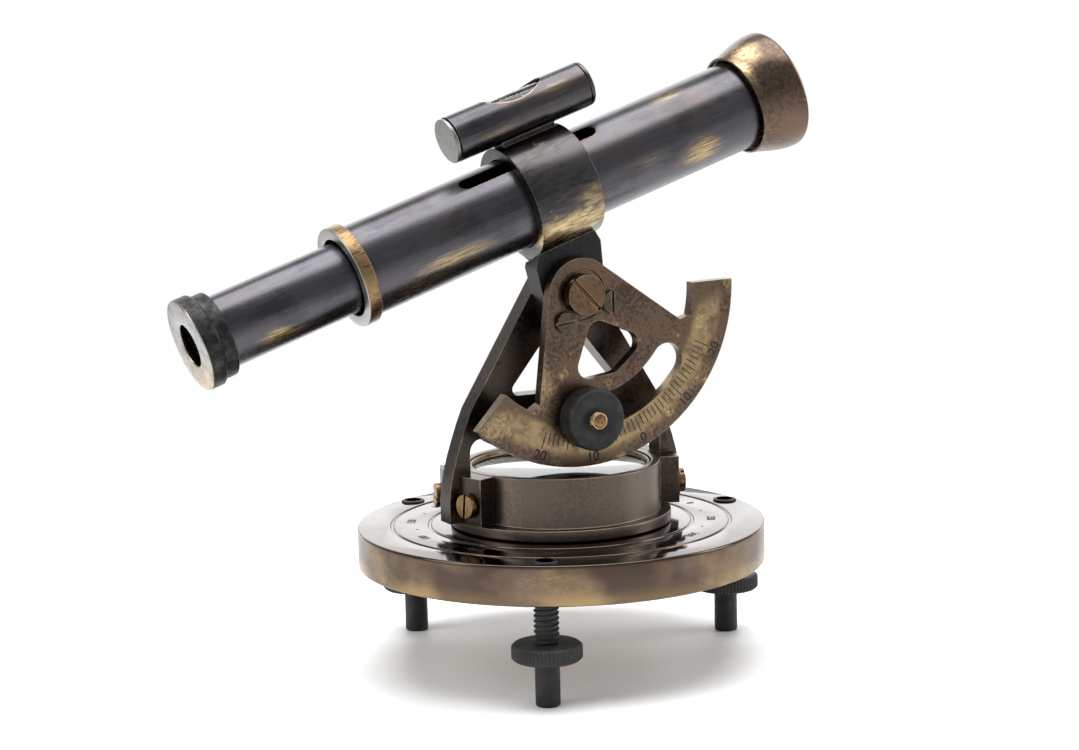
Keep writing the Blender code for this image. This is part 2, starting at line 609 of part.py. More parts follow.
def build_main_tube(elevation):
    """Slotted main tube with its brass end ring, flared hood and objective."""
    tube = [(TUBE_BORE, TUBE_U0), (TUBE_R, TUBE_U0), (TUBE_R, TUBE_U1), (TUBE_BORE, TUBE_U1)]
    main = new_object("main_tube", on_scope(tube), MAT["gunmetal"], elevation)
    half = KEY_W / 2
    slot = arc(KEY_U1 - half, 0, half, -90, 90, 8) + arc(KEY_U0 + half, 0, half, 90, 270, 8)
    bm = prism([(x + SCOPE_U, y + AXIS_Y) for x, y in slot], AXIS_V + 7, AXIS_V + 15, "Z")
    cut(main, tool("key_slot", rolled(bm, KEY_ROLL), elevation))
    ring_r = 12.4
    ring_bore = DRAW_R + 0.9
    ring = [(ring_bore, -56.3), (ring_r - 0.3, -56.3), (ring_r, -56.0), (ring_r, -53.2), (ring_r - 0.3, -52.9),
            (TUBE_R + RUN, -52.9), (TUBE_R + RUN, TUBE_U0 - 0.1), (ring_bore, TUBE_U0 - 0.1)]
    new_object("end_ring", on_scope(ring, 32), MAT["brass"], elevation)
    near, far = 57.5, 69.6
    outer = []
    steps = 5
    for i in range(steps + 1):
        t = i / steps
        outer.append((12.75 + 2.45 * math.sin(t * math.pi / 2) ** 1.25, near + 0.3 + t * (far - near - 1.0)))
    hood = [(TUBE_R + 0.9, near), (12.5, near)] + outer
    hood += [(14.9, far), (13.2, far), (12.1, far - 3.4), (11.6, 61.2), (TUBE_R + RUN, 61.2), (TUBE_R + RUN, 58.6),
             (TUBE_R + 0.9, 58.2)]
    new_object("objective_hood", on_scope(hood, 36), MAT["bronze"], elevation)
    cell = [(8.9, 61.5), (11.3, 61.5), (11.3, 63.2), (9.4, 63.2)]
    new_object("lens_ring", on_scope(cell, 32), MAT["black"], elevation)
    lens = [(0, 57.4), (4.0, 57.6), (7.5, 58.1), (10.1, 58.8), (10.1, 60.3), (8.6, 60.7), (5.0, 61.2), (0, 61.4)]
    new_object("objective_lens", on_scope(lens, 28), MAT["glass"], elevation)


def build_draw_tube(elevation):
    """Focusing tube with its guide bush, stepped eyepiece cap and eye lens."""
    tube = [(DRAW_BORE, DRAW_U0), (DRAW_R, DRAW_U0), (DRAW_R, DRAW_U1), (DRAW_BORE, DRAW_U1)]
    new_object("draw_tube", on_scope(tube, 36), MAT["gunmetal"], elevation)
    bush_r = TUBE_BORE - RUN
    sleeve = [(DRAW_R + RUN, -30.0), (bush_r, -30.0), (bush_r, -22.6), (DRAW_R + RUN, -22.6)]
    new_object("draw_sleeve", on_scope(sleeve, 36), MAT["brass"], elevation)
    bush = [(DRAW_R + RUN, -53.0), (bush_r, -53.0), (bush_r, -47.0), (DRAW_R + RUN, -47.0)]
    new_object("tube_bush", on_scope(bush, 36), MAT["brass"], elevation)
    stop = [(4.2, -21.7), (DRAW_R - 0.1, -21.7), (DRAW_R - 0.1, -20.9), (4.2, -20.9)]
    new_object("field_stop", on_scope(stop, 28), MAT["black"], elevation)
    cap = [(4.9, -97.0), (10.7, -97.0), (11.15, -96.5), (11.15, -93.5), (10.5, -93.2), (10.5, -92.8), (10.3, -92.6),
           (10.3, -89.8), (10.0, -89.5), (DRAW_R + RUN, -89.5), (DRAW_R + RUN, DRAW_U0 - GAP), (7.2, DRAW_U0 - GAP),
           (7.2, -94.8), (5.6, -95.6)]
    new_object("eyepiece_cap", on_scope(cap, 32), MAT["gunmetal"], elevation)
    lens = [(0, -94.5), (3.5, -94.3), (6.9, -93.6), (6.9, -92.4), (3.5, -91.9), (0, -91.7)]
    new_object("eye_lens", on_scope(lens, 24), MAT["glass"], elevation)


clear_scene()
MAT = make_materials()
ROOT = empty("instrument", (BASE_X, 0, 0))
ELEVATION_FRAME = empty("elevation_frame", (0, 0, PIVOT_Z), ROOT, ELEVATION)

build_base(ROOT)
build_washer(ROOT)
for number, bearing_angle in enumerate(SCREW_ANGLES, 1):
    build_levelling_screw(number, bearing_angle, ROOT)
build_compass(ROOT)
build_needle(ROOT)
build_a_frame(ROOT)
build_frame_fasteners(ROOT)
build_clamp_knob(ROOT)
build_quadrant(ELEVATION_FRAME)
build_stem(ELEVATION_FRAME)
build_elevation_fasteners(ELEVATION_FRAME)
build_collar(ELEVATION_FRAME)
build_vial(ELEVATION_FRAME)
build_main_tube(ELEVATION_FRAME)
build_draw_tube(ELEVATION_FRAME)
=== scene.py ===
"""Looks of a table-top alidade theodolite: a telescope with a vial on a graduated quadrant, carried by an
A-frame over a compass box, on a round base plate with three levelling screws.

Shapes are in millimetres, in the frame of the group they belong to, and are built in metres.
"""

import json
import math

import bmesh
import bpy
from mathutils import Matrix, Vector


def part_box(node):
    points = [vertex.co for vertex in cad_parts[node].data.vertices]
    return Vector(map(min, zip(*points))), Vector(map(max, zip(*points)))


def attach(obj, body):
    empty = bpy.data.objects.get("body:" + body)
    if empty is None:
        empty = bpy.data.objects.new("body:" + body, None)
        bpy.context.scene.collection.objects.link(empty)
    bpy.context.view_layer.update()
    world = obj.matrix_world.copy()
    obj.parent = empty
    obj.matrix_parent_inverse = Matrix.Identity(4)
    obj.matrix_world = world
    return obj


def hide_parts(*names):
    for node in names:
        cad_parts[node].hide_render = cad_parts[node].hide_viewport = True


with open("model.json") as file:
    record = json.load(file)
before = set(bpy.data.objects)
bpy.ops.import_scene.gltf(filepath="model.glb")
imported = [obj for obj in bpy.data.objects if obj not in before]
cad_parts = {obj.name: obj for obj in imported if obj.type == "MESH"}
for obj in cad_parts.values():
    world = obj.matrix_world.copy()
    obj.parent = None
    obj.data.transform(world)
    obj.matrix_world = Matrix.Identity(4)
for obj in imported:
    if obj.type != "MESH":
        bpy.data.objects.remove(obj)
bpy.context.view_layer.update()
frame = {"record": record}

MM = 0.001
RECORD = frame["record"]
BODY_OF = {node: body for body, nodes in RECORD["behaviour"]["bodies"].items() for node in nodes}
JOINTS = {joint["name"]: joint for joint in RECORD["behaviour"]["joints"]}

PLATE_LOW, PLATE_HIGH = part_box("base_plate")
BASE_X = (PLATE_LOW[0] + PLATE_HIGH[0]) / 2 / MM
PLATE_Z = PLATE_LOW[2] / MM
TOP = PLATE_HIGH[2] / MM
PLATE_R = (PLATE_HIGH[0] - PLATE_LOW[0]) / 2 / MM
PIVOT_Z = JOINTS["elevation"]["pos_m"][2] / MM
SLIDE = JOINTS["telescope_slide"]["axis"]
ELEVATION = math.atan2(SLIDE[2], SLIDE[0])

# Base: levelling screws on their pitch circle, engraved rings and the ring of numbers
SCREW_PITCH_R = 46.8
SCREW_ANGLES = (-2.2, 117.8, 237.8)
KNOB_R, KNOB_LOW, KNOB_HIGH = 8.4, 11.1, 15.0
GROOVES = (42.2, 32.8)
NUMBERS_R = 37.4

# Compass box and what lies in it
FLANGE_R, FLANGE_TOP = 27.6, 3.0
BOX_R, BOX_BORE, BOX_TOP = 25.0, 22.8, 15.2
CARD_R, CARD_LOW, CARD_HIGH = 21.3, 6.2, 7.0
GLASS_R, GLASS_LOW, GLASS_HIGH = 22.5, 12.6, 13.6
NEEDLE_LOW, NEEDLE_HIGH, NEEDLE_L = 8.55, 9.0, 18.5

# A-frame, from front to back, and its feet
FRAME_FRONT, FRAME_BACK = -4.0, 1.5
FOOT_LOW, FOOT_HIGH = 3.3, 15.1
FOOT_R, FOOT_HALF_ANGLE = 30.0, 22.8
FOOT_SCREW_ANGLE, FOOT_SCREW_Z = 15.4, 8.3

# Tilting head: stem and quadrant, with the clamp stud below the pivot
BORE = 2.62
TONGUE_FRONT = -10.4
QUAD_FRONT, QUAD_BACK = -13.7, -10.7
QUAD_ROLL = math.radians(5.7)
QUAD_R, RIM_R = 42.4, 31.0
SLOT_R0, SLOT_R1, SLOT_ANGLE = 25.5, 33.8, 28.5
STUD_DROP = 30.0
SMALL_SCREW = (6.6, -4.7)

# Telescope axis above the pivot, and where each group sits along it
AXIS_V, AXIS_Y = 24.9, -2.75
SCOPE_U, COLLAR_U, VIAL_U, VIAL_V = 3.9, 3.4, 3.2, 20.4
COLLAR_R, COLLAR_BORE, COLLAR_HALF = 14.3, 11.3, 8.9
VIAL_R, VIAL_BORE, VIAL_HALF = 5.65, 5.05, 18.4
TUBE_R, TUBE_BORE, TUBE_REAR, TUBE_FRONT = 11.2, 10.3, -55.6, 60.2
DRAW_R, DRAW_BORE, DRAW_REAR, DRAW_FRONT = 8.75, 7.75, -92.0, -22.0
RING_FACE, CAP_FACE = -56.3, -97.0
KEY_U0, KEY_U1, KEY_HALF = -22.9, 15.8, 2.1
KEY_ROLL = Matrix.Rotation(math.radians(25), 4, "X")


def at(x, y, z):
    """Matrix of a place given in millimetres."""
    return Matrix.Translation((x * MM, y * MM, z * MM))


BASE = at(BASE_X, 0, 0)
DECK = at(BASE_X, 0, TOP)
PIVOT = at(BASE_X, 0, PIVOT_Z)
TILT = PIVOT @ Matrix.Rotation(-ELEVATION, 4, "Y")
QUAD = TILT @ Matrix.Rotation(-QUAD_ROLL, 4, "Y")
AXIS = TILT @ at(0, AXIS_Y, AXIS_V)
SCOPE = AXIS @ at(SCOPE_U, 0, 0)
COLLAR = AXIS @ at(COLLAR_U, 0, 0)
VIAL = AXIS @ at(VIAL_U, 0, VIAL_V)


# Shapes


def soften(profile, radius, steps=4, closed=True):
    """Rounds the corners of a (radius, height) profile. Corners that carry a third value stay."""
    out = []
    count = len(profile)
    for i, point in enumerate(profile):
        ends = not closed and i in (0, count - 1)
        if ends or len(point) > 2:
            out.append(point)
            continue
        here = Vector(point[:2])
        back = Vector(profile[i - 1][:2]) - here
        ahead = Vector(profile[(i + 1) % count][:2]) - here
        if back.length < 1e-6 or ahead.length < 1e-6:
            out.append(point)
            continue
        half = back.angle(ahead) / 2
        if half > math.radians(82):
            out.append(point)
            continue
        reach = min(radius / math.tan(half), back.length * 0.45, ahead.length * 0.45)
        r = reach * math.tan(half)
        centre = here + (back.normalized() + ahead.normalized()).normalized() * (r / math.sin(half))
        first = here + back.normalized() * reach - centre
        last = here + ahead.normalized() * reach - centre
        turn = first.angle_signed(last)
        for k in range(steps + 1):
            spoke = first.copy()
            spoke.rotate(Matrix.Rotation(-turn * k / steps, 2))
            out.append(tuple(centre + spoke))
    return out


def lathe(profile, segments=128, axis="Z", wave=None, round_by=0.25):
    """A bmesh turned about an axis from (radius, height) points. Zero radii close it on the axis."""
    open_ended = profile[0][0] == 0 and profile[-1][0] == 0
    profile = soften(profile, round_by, closed=not open_ended) if round_by else profile
    bm = bmesh.new()
    rings = []
    for point in profile:
        radius, height = point[0], point[1]
        ring = []
        for i in range(segments if radius > 1e-9 else 1):
            angle = 2 * math.pi * i / segments
            r = radius * wave(angle) if wave and len(point) > 2 else radius
            a, b = r * math.cos(angle), r * math.sin(angle)
            ring.append(bm.verts.new((a, b, height) if axis == "Z" else (height, a, b)))
        rings.append(ring)
    pairs = list(zip(rings, rings[1:]))
    if not open_ended:
        pairs.append((rings[-1], rings[0]))
    for lower, upper in pairs:
        for i in range(segments):
            j = (i + 1) % segments
            corners = [lower[i % len(lower)], lower[j % len(lower)]]
            corners += [upper[j % len(upper)], upper[i % len(upper)]]
            corners = list(dict.fromkeys(corners))
            if len(corners) > 2:
                bm.faces.new(corners)
    return bm


def knurl(teeth, depth):
    """Radius factor of straight knurling with flat-topped ridges."""

    def factor(angle):
        wave = math.cos(teeth * angle)
        return 1.0 - depth * (0.5 - 0.5 * math.copysign(abs(wave) ** 0.6, wave))

    return factor


def prism(outline, low, high, axis="Y"):
    """A bmesh of an outline extruded along an axis. The outline's points are (x, z) along Y,
    (x, y) along Z and (y, z) along X."""
    order = {"X": (2, 0, 1), "Y": (0, 2, 1), "Z": (0, 1, 2)}[axis]
    bm = bmesh.new()
    near, far = ([bm.verts.new([(a, b, t)[i] for i in order]) for a, b in outline] for t in (low, high))
    bm.faces.new(near)
    bm.faces.new(reversed(far))
    for i in range(len(outline)):
        j = (i + 1) % len(outline)
        bm.faces.new((near[j], near[i], far[i], far[j]))
    return bm


def block(size, centre):
    bm = bmesh.new()
    bmesh.ops.create_cube(bm, size=1, matrix=Matrix.Translation(centre) @ Matrix.Diagonal((*size, 1)))
    return bm


def arc(cx, cz, radius, start, end, steps):
    """Points on a circle, angles in degrees."""
    points = []
    for i in range(steps + 1):
        angle = math.radians(start + (end - start) * i / steps)
        points.append((cx + radius * math.cos(angle), cz + radius * math.sin(angle)))
    return points


def band(inner, outer, low, high):
    """Rectangular profile of a ring, or of a disc where inner is 0."""
    return [(inner, low), (outer, low), (outer, high), (inner, high)]


def rod(radius, low, high, segments=64, axis="Z"):
    return lathe(band(0, radius, low, high), segments, axis, round_by=0)


def moved(bm, matrix):
    bmesh.ops.transform(bm, matrix=matrix, verts=bm.verts)
    return bm


def shift(x, y, z):
    return Matrix.Translation((x, y, z))


def turn(degrees, axis):
    return Matrix.Rotation(math.radians(degrees), 4, axis)


def cross_rod(radius, low, high, segments=64, x=0, z=0):
    """A rod along Y, for bores through the flat pieces."""
    return moved(rod(radius, low, high, segments), shift(x, 0, z) @ turn(-90, "X") @ turn(2, "Z"))


def raw_object(name, bm, place):
    """An object in metres from a bmesh in millimetres, at a body's frame."""
    bmesh.ops.scale(bm, vec=(MM, MM, MM), verts=bm.verts)
    bmesh.ops.recalc_face_normals(bm, faces=bm.faces)
    mesh = bpy.data.meshes.new(name)
    bm.to_mesh(mesh)
    bm.free()
    obj = bpy.data.objects.new(name, mesh)
    bpy.context.scene.collection.objects.link(obj)
    obj.matrix_world = place
    return obj


def modify(obj, kind, **settings):
    modifier = obj.modifiers.new(kind.lower(), kind)
    for key, value in settings.items():
        setattr(modifier, key, value)


def apply_modifiers(obj):
    bpy.context.view_layer.update()
    graph = bpy.context.evaluated_depsgraph_get()
    mesh = bpy.data.meshes.new_from_object(obj.evaluated_get(graph))
    obj.modifiers.clear()
    old = obj.data
    obj.data = mesh
    mesh.name = obj.name
    bpy.data.meshes.remove(old)


def piece(name, bm, place, skin, node=None, like=None, cuts=(), joins=(), bevel=0.0, sharp=40):
    """Builds a finished piece: Boolean joins and cuts, bevelled edges, one of the skins, and its body.
    node is the CAD node it replaces; like names the node whose body it shares."""
    obj = raw_object(name, bm, place)
    tools = []
    for operation, shapes in (("UNION", joins), ("DIFFERENCE", cuts)):
        for shape in shapes:
            cutter = raw_object("cutter", shape, place)
            modify(obj, "BOOLEAN", object=cutter, operation=operation, solver="EXACT")
            tools.append(cutter)
    if tools:
        apply_modifiers(obj)
        for cutter in tools:
            bpy.data.objects.remove(cutter, do_unlink=True)
        clean = bmesh.new()
        clean.from_mesh(obj.data)
        bmesh.ops.remove_doubles(clean, verts=clean.verts, dist=2e-6)
        bmesh.ops.dissolve_limit(clean, angle_limit=math.radians(0.4), verts=clean.verts, edges=clean.edges)
        clean.to_mesh(obj.data)
        clean.free()
    if bevel:
        modify(obj, "BEVEL", width=bevel * MM, segments=3, limit_method="ANGLE", angle_limit=math.radians(35))
        apply_modifiers(obj)
    obj.data.shade_smooth()
    obj.data.set_sharp_from_angle(angle=math.radians(sharp))
    if bevel:
        modify(obj, "WEIGHTED_NORMAL", keep_sharp=True)
        apply_modifiers(obj)
    obj.data.materials.clear()
    obj.data.materials.append(SKIN[skin])
    source = node or like
    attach(obj, BODY_OF[source])
    if node:
        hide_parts(node)
    return obj


def turned(name, node, profile, place, skin, segments=96, axis="X", round_by=0.2, **more):
    """A finished piece with a lathe shape, in one of the skins."""
    return piece(name, lathe(profile, segments, axis, round_by=round_by), place, skin, node, **more)


def lettering(words, size, depth):
    """A bmesh of flat text in the XY plane, centred on the origin, from z = 0 to depth."""
    curve = bpy.data.curves.new("letters", "FONT")
    curve.body = words
    curve.size = size
    curve.extrude = depth / 2
    curve.offset = 0.018 * size
    curve.align_x = "CENTER"
    curve.align_y = "CENTER"
    obj = bpy.data.objects.new("letters", curve)
    bpy.context.scene.collection.objects.link(obj)
    bpy.context.view_layer.update()
    mesh = obj.evaluated_get(bpy.context.evaluated_depsgraph_get()).to_mesh()
    bm = bmesh.new()
    bm.from_mesh(mesh)
    bpy.data.objects.remove(obj, do_unlink=True)
    bpy.data.curves.remove(curve)
    bmesh.ops.translate(bm, vec=(0, 0, depth / 2), verts=bm.verts)
    return bm


def gathered(shapes):
    """One bmesh that holds all of the given ones."""
    total = bmesh.new()
    for shape in shapes:
        mesh = bpy.data.meshes.new("part")
        shape.to_mesh(mesh)
        shape.free()
        total.from_mesh(mesh)
        bpy.data.meshes.remove(mesh)
    return total


# Materials


class Paint:
    """One procedural material: a Principled shader and the nodes that feed it."""

    def __init__(self, name, metallic=1.0, roughness=0.3):
        self.mat = bpy.data.materials.new(name)
        self.mat.use_nodes = True
        self.tree = self.mat.node_tree
        self.bsdf = self.tree.nodes["Principled BSDF"]
        self.put(self.bsdf, {"Metallic": metallic, "Roughness": roughness})
        self.place = self.vector("MULTIPLY", self.node("TexCoord", "Object"), (1000, 1000, 1000))

    def put(self, node, inputs):
        """Gives inputs their constants or links."""
        for key, value in inputs.items():
            if isinstance(value, bpy.types.NodeSocket):
                self.tree.links.new(value, node.inputs[key])
            else:
                node.inputs[key].default_value = value

    def node(self, kind, output, inputs=None, **settings):
        node = self.tree.nodes.new("ShaderNode" + kind)
        for key, value in settings.items():
            setattr(node, key, value)
        self.put(node, inputs or {})
        return node.outputs[output]

    def vector(self, operation, a, b=(0, 0, 0), output="Vector"):
        return self.node("VectorMath", output, {0: a, 1: b}, operation=operation)

    def math(self, operation, *values):
        clamp = operation in ("ADD", "SUBTRACT", "MULTIPLY")
        return self.node("Math", 0, dict(enumerate(values)), operation=operation, use_clamp=clamp)

    def times(self, a, b):
        return self.math("MULTIPLY", a, b)

    def most(self, a, b):
        return self.math("MAXIMUM", a, b)

    def half_sum(self, a, b):
        """Half of the sum, which is held to 1."""
        return self.times(self.math("ADD", a, b), 0.5)

    def noise(self, scale, detail=4.0, stretch=(1, 1, 1), rough=0.55):
        place = self.vector("MULTIPLY", self.place, stretch)
        inputs = {"Scale": scale, "Detail": detail, "Roughness": rough, "Vector": place}
        return self.node("TexNoise", "Fac", inputs)

    def ramp(self, value, low, high, to_low=0.0, to_high=1.0):
        inputs = {"Value": value, "From Min": low, "From Max": high, "To Min": to_low, "To Max": to_high}
        return self.node("MapRange", "Result", inputs, interpolation_type="SMOOTHSTEP")

    def mix(self, factor, a, b):
        a, b = ((*colour, 1) if isinstance(colour, tuple) else colour for colour in (a, b))
        return self.node("Mix", "Result", {"Factor": factor, "A": a, "B": b}, data_type="RGBA")

    def edges(self, radius, low=0.02, high=0.25):
        """1 on convex and concave edges, from the rounded normal."""
        rounded = self.node("Bevel", "Normal", {"Radius": radius * MM}, samples=6)
        dot = self.vector("DOT_PRODUCT", rounded, self.node("NewGeometry", "Normal"), "Value")
        return self.ramp(self.math("SUBTRACT", 1.0, dot), low, high)

    def blob(self, centre, size, ragged, soft, scale=0.5, stretch=(1, 1, 1)):
        """1 inside a ragged ellipsoid, in millimetres of the piece's own frame."""
        away = self.vector("DIVIDE", self.vector("SUBTRACT", self.place, centre), size)
        length = self.vector("LENGTH", away, output="Value")
        reach = self.math("MULTIPLY_ADD", self.noise(scale, 4.0, stretch), -2 * ragged, length)
        return self.ramp(reach, 1.0 - ragged, 1.0 - ragged - soft)

    def part(self, axis):
        """One coordinate of the piece's own frame, in millimetres."""
        return self.node("SeparateXYZ", axis, {0: self.place})

    def radius(self, keep):
        """Distance from the axis of the piece's own frame that keep leaves out."""
        return self.vector("LENGTH", self.vector("MULTIPLY", self.place, keep), output="Value")

    def specks(self, scale=0.35, size=0.07, share=0.25):
        """Sparse bright specks of dust and bare metal."""
        cells = self.node("TexVoronoi", "Distance", {"Scale": scale, "Vector": self.place})
        pick = self.node("SeparateColor", 0, {0: cells.node.outputs["Color"]})
        keep = self.ramp(pick, 1.0 - share, 1.0 - share + 0.01)
        return self.times(self.ramp(cells, size, size * 0.4), keep)

    def finish(self, colour, rough, height, strength, depth):
        """Puts in colour, roughness and a bump of a depth in millimetres. The finished material."""
        bump = {"Strength": strength, "Distance": depth * MM, "Height": height}
        normal = self.node("Bump", "Normal", bump)
        self.put(self.bsdf, {"Base Color": colour, "Roughness": rough, "Normal": normal})
        return self.mat


GOLD = (0.50, 0.34, 0.14)
PALE_GOLD = (0.72, 0.56, 0.32)


def patina(name, dark, mid, gold=GOLD, wear=(0.62, 0.75), rough=(0.22, 0.42), grain=(1, 1, 1), edge=0.8,
           blobs=(), speck=0.15, edge_radius=0.45, extra=None, tone=0.09):
    """Aged lacquered brass: a mottled dark skin that wears to gold on edges and in patches; on the hood the
    patches are a painted highlight.
    A blob is a centre, a size, how ragged and how soft its border is, and its share of gold."""
    p = Paint(name)
    cloud = p.noise(tone, 5.0, grain)
    fine = p.noise(1.1, 5.0, grain, 0.6)
    skin = p.mix(p.ramp(p.half_sum(cloud, fine), 0.40, 0.62), dark, mid)
    gold_mask = p.times(p.ramp(p.noise(0.16, 6.0, grain, 0.62), *wear), p.ramp(fine, 0.35, 0.6))
    # Each blob lays gold over the skin: worn brass on most skins, a painted highlight on the hood.
    for centre, size, ragged, soft, share in blobs:
        patch = p.times(p.blob(centre, size, ragged, soft), share)
        gold_mask = p.most(gold_mask, p.times(patch, p.ramp(fine, 0.30, 0.62, 0.25, 1.0)))
    if extra:
        gold_mask = p.most(gold_mask, extra(p))
    gold_mask = p.most(gold_mask, p.times(p.edges(edge_radius), p.ramp(p.noise(0.45), 0.3, 0.62, 0.15, edge)))
    body = p.mix(gold_mask, skin, p.mix(fine, gold, PALE_GOLD))
    body = p.mix(p.times(p.specks(share=speck), 0.7), body, PALE_GOLD)
    height = p.math("ADD", p.noise(2.2, 5.0, grain, 0.65), p.times(cloud, 0.4))
    return p.finish(body, p.ramp(p.half_sum(fine, cloud), 0.3, 0.7, *rough), height, 0.12, 0.06)


def tube_finish(name, spots, mid=(0.112, 0.108, 0.120)):
    """Gunmetal lacquer on a drawn tube, with lengthwise streaks and rubbed golden patches."""
    p = Paint(name)
    long_cloud = p.noise(0.22, stretch=(0.12, 1.0, 1.0))
    fine = p.noise(2.6, 6.0, (0.07, 1.0, 1.0), 0.65)
    mottled = p.noise(0.10)
    skin = p.mix(p.ramp(p.half_sum(long_cloud, mottled), 0.34, 0.66), (0.052, 0.050, 0.056), mid)
    skin = p.mix(p.ramp(fine, 0.46, 0.68, 0.0, 0.16), skin, (0.20, 0.19, 0.20))
    skin = p.mix(p.ramp(p.noise(0.07), 0.50, 0.70, 0.0, 0.38), skin, (0.110, 0.084, 0.066))
    gold_mask = 0.0
    for centre, size, share in spots:
        spot = p.times(p.blob(centre, size, 0.30, 0.95, 0.30, (0.4, 1, 1)), share)
        gold_mask = p.most(gold_mask, p.times(spot, p.ramp(fine, 0.36, 0.66, 0.15, 1.0)))
    gold_mask = p.most(gold_mask, p.times(p.edges(0.4), p.ramp(p.noise(0.45), 0.3, 0.6, 0.1, 0.6)))
    body = p.mix(gold_mask, skin, p.mix(fine, (0.42, 0.29, 0.11), (0.62, 0.46, 0.22)))
    body = p.mix(p.times(p.specks(0.30, 0.04, 0.10), 0.35), body, (0.5, 0.47, 0.44))
    height = p.math("ADD", fine, p.times(p.noise(3.0, 3.0), 0.3))
    return p.finish(body, p.ramp(p.half_sum(fine, mottled), 0.32, 0.66, 0.22, 0.34), height, 0.045, 0.05)


def brushed_brass(name, dark=(0.17, 0.105, 0.055), low=0.36, high=0.60, rough=(0.28, 0.45)):
    """Bright brass with brown mottling and tool marks."""
    p = Paint(name)
    marks = p.noise(1.8, 5.0, rough=0.65)
    skin = p.mix(p.ramp(p.half_sum(marks, p.noise(0.22, 5.0)), low, high), dark, GOLD)
    edge = p.times(p.edges(0.45), p.ramp(marks, 0.3, 0.55, 0.4, 0.95))
    return p.finish(p.mix(edge, skin, PALE_GOLD), p.ramp(marks, 0.3, 0.7, *rough), marks, 0.16, 0.06)


def end_ring_brass(name):
    """Tube's end ring: brown-streaked brass round its edge, pale rubbed corners, satin grey face."""
    p = Paint(name)
    marks = p.noise(2.4, 6.0, (0.12, 1.0, 1.0), 0.7)
    blotch = p.noise(0.35, 5.0)
    skin = p.mix(p.ramp(p.half_sum(marks, blotch), 0.42, 0.60), (0.120, 0.075, 0.045), (0.40, 0.28, 0.13))
    face = p.ramp(p.part("X"), RING_FACE + 0.25, RING_FACE + 0.1)
    skin = p.mix(face, skin, p.mix(blotch, (0.40, 0.39, 0.38), (0.27, 0.26, 0.26)))
    edge = p.times(p.edges(0.40), p.ramp(marks, 0.25, 0.5, 0.5, 1.0))
    return p.finish(p.mix(edge, skin, PALE_GOLD), p.ramp(marks, 0.3, 0.7, 0.26, 0.44), marks, 0.16, 0.06)


def black_oxide(name, tone, edge=0.25):
    """Matte chemical black on steel, with a trace of wear."""
    p = Paint(name, metallic=0.35)
    fine = p.noise(3.0, rough=0.6)
    skin = p.mix(p.ramp(p.noise(0.3), 0.35, 0.65), (tone * 0.7,) * 3, (tone * 1.7, tone * 1.65, tone * 1.6))
    skin = p.mix(p.times(p.edges(0.3), p.ramp(fine, 0.4, 0.7, 0.0, edge)), skin, (0.22, 0.20, 0.18))
    body = p.mix(p.times(p.specks(0.5, 0.06, 0.10), 0.35), skin, (0.35, 0.33, 0.30))
    return p.finish(body, p.ramp(fine, 0.3, 0.7, 0.42, 0.62), fine, 0.18, 0.06)


def clear_glass(name, tint=(0.93, 0.97, 0.96)):
    """Slightly dusty glass."""
    p = Paint(name, metallic=0.0)
    p.put(p.bsdf, {"Transmission Weight": 1.0, "IOR": 1.45})
    dust = p.ramp(p.noise(0.8, 5.0), 0.55, 0.75)
    body = p.mix(p.times(dust, 0.15), tint, (0.80, 0.80, 0.77))
    p.put(p.bsdf, {"Base Color": body, "Roughness": p.ramp(dust, 0.0, 1.0, 0.02, 0.12)})
    return p.mat


def card_print(name):
    """Printed card, slightly yellowed, with a fine fibre."""
    p = Paint(name, metallic=0.0)
    fibre = p.noise(2.0, 5.0)
    stain = p.ramp(p.noise(0.10), 0.5, 0.75)
    body = p.mix(fibre, (0.88, 0.88, 0.88), (0.82, 0.82, 0.81))
    body = p.mix(p.times(stain, 0.15), body, (0.74, 0.70, 0.60))
    return p.finish(body, p.ramp(fibre, 0.3, 0.7, 0.55, 0.75), fibre, 0.08, 0.03)


def ink(name, colour, rough=0.6, metallic=0.0):
    """Stamped or printed marks."""
    p = Paint(name, metallic=metallic)
    fade = p.noise(1.4)
    body = p.mix(fade, colour, tuple(c * 1.8 + 0.01 for c in colour))
    return p.finish(body, p.ramp(fade, 0.3, 0.7, rough - 0.1, rough + 0.1), fade, 0.1, 0.03)


def polished_plate(name):
    """Base plate: mirror-polished dark top, satin rim with brown and gold mottling."""
    p = Paint(name)
    side = p.ramp(p.part("Z"), -0.55, -0.95)
    cloud = p.noise(0.045, 4.0, (1, 1, 1.6))
    fine = p.noise(1.5, 6.0, (0.5, 0.5, 1.6), 0.65)
    rim = p.mix(p.ramp(cloud, 0.36, 0.64), (0.085, 0.060, 0.048), (0.200, 0.140, 0.090))
    rim = p.mix(p.times(p.ramp(p.noise(0.04, 3.0), 0.5, 0.64), 0.55), rim, (0.120, 0.096, 0.096))
    low_gold = p.times(p.ramp(p.part("Z"), -5.5, -9.2), p.ramp(cloud, 0.40, 0.56, 0.30, 0.85))
    gold = p.most(low_gold, p.times(p.ramp(cloud, 0.52, 0.70), p.ramp(fine, 0.42, 0.62)))
    rim = p.mix(p.times(gold, 0.60), rim, (0.42, 0.30, 0.13))
    face = p.mix(p.ramp(p.noise(0.05), 0.35, 0.65), (0.060, 0.045, 0.036), (0.105, 0.080, 0.062))
    edge = p.times(p.edges(0.55, 0.015, 0.2), p.ramp(p.noise(0.3), 0.3, 0.6, 0.45, 1.0))
    body = p.mix(edge, p.mix(side, face, rim), PALE_GOLD)
    body = p.mix(p.times(p.specks(0.45, 0.06, 0.3), p.times(side, 0.75)), body, PALE_GOLD)
    rough = p.mix(side, p.ramp(fine, 0.3, 0.7, 0.07, 0.13), p.ramp(fine, 0.3, 0.7, 0.28, 0.42))
    return p.finish(body, rough, p.times(fine, p.ramp(side, 0.0, 1.0, 0.12, 1.0)), 0.12, 0.06)


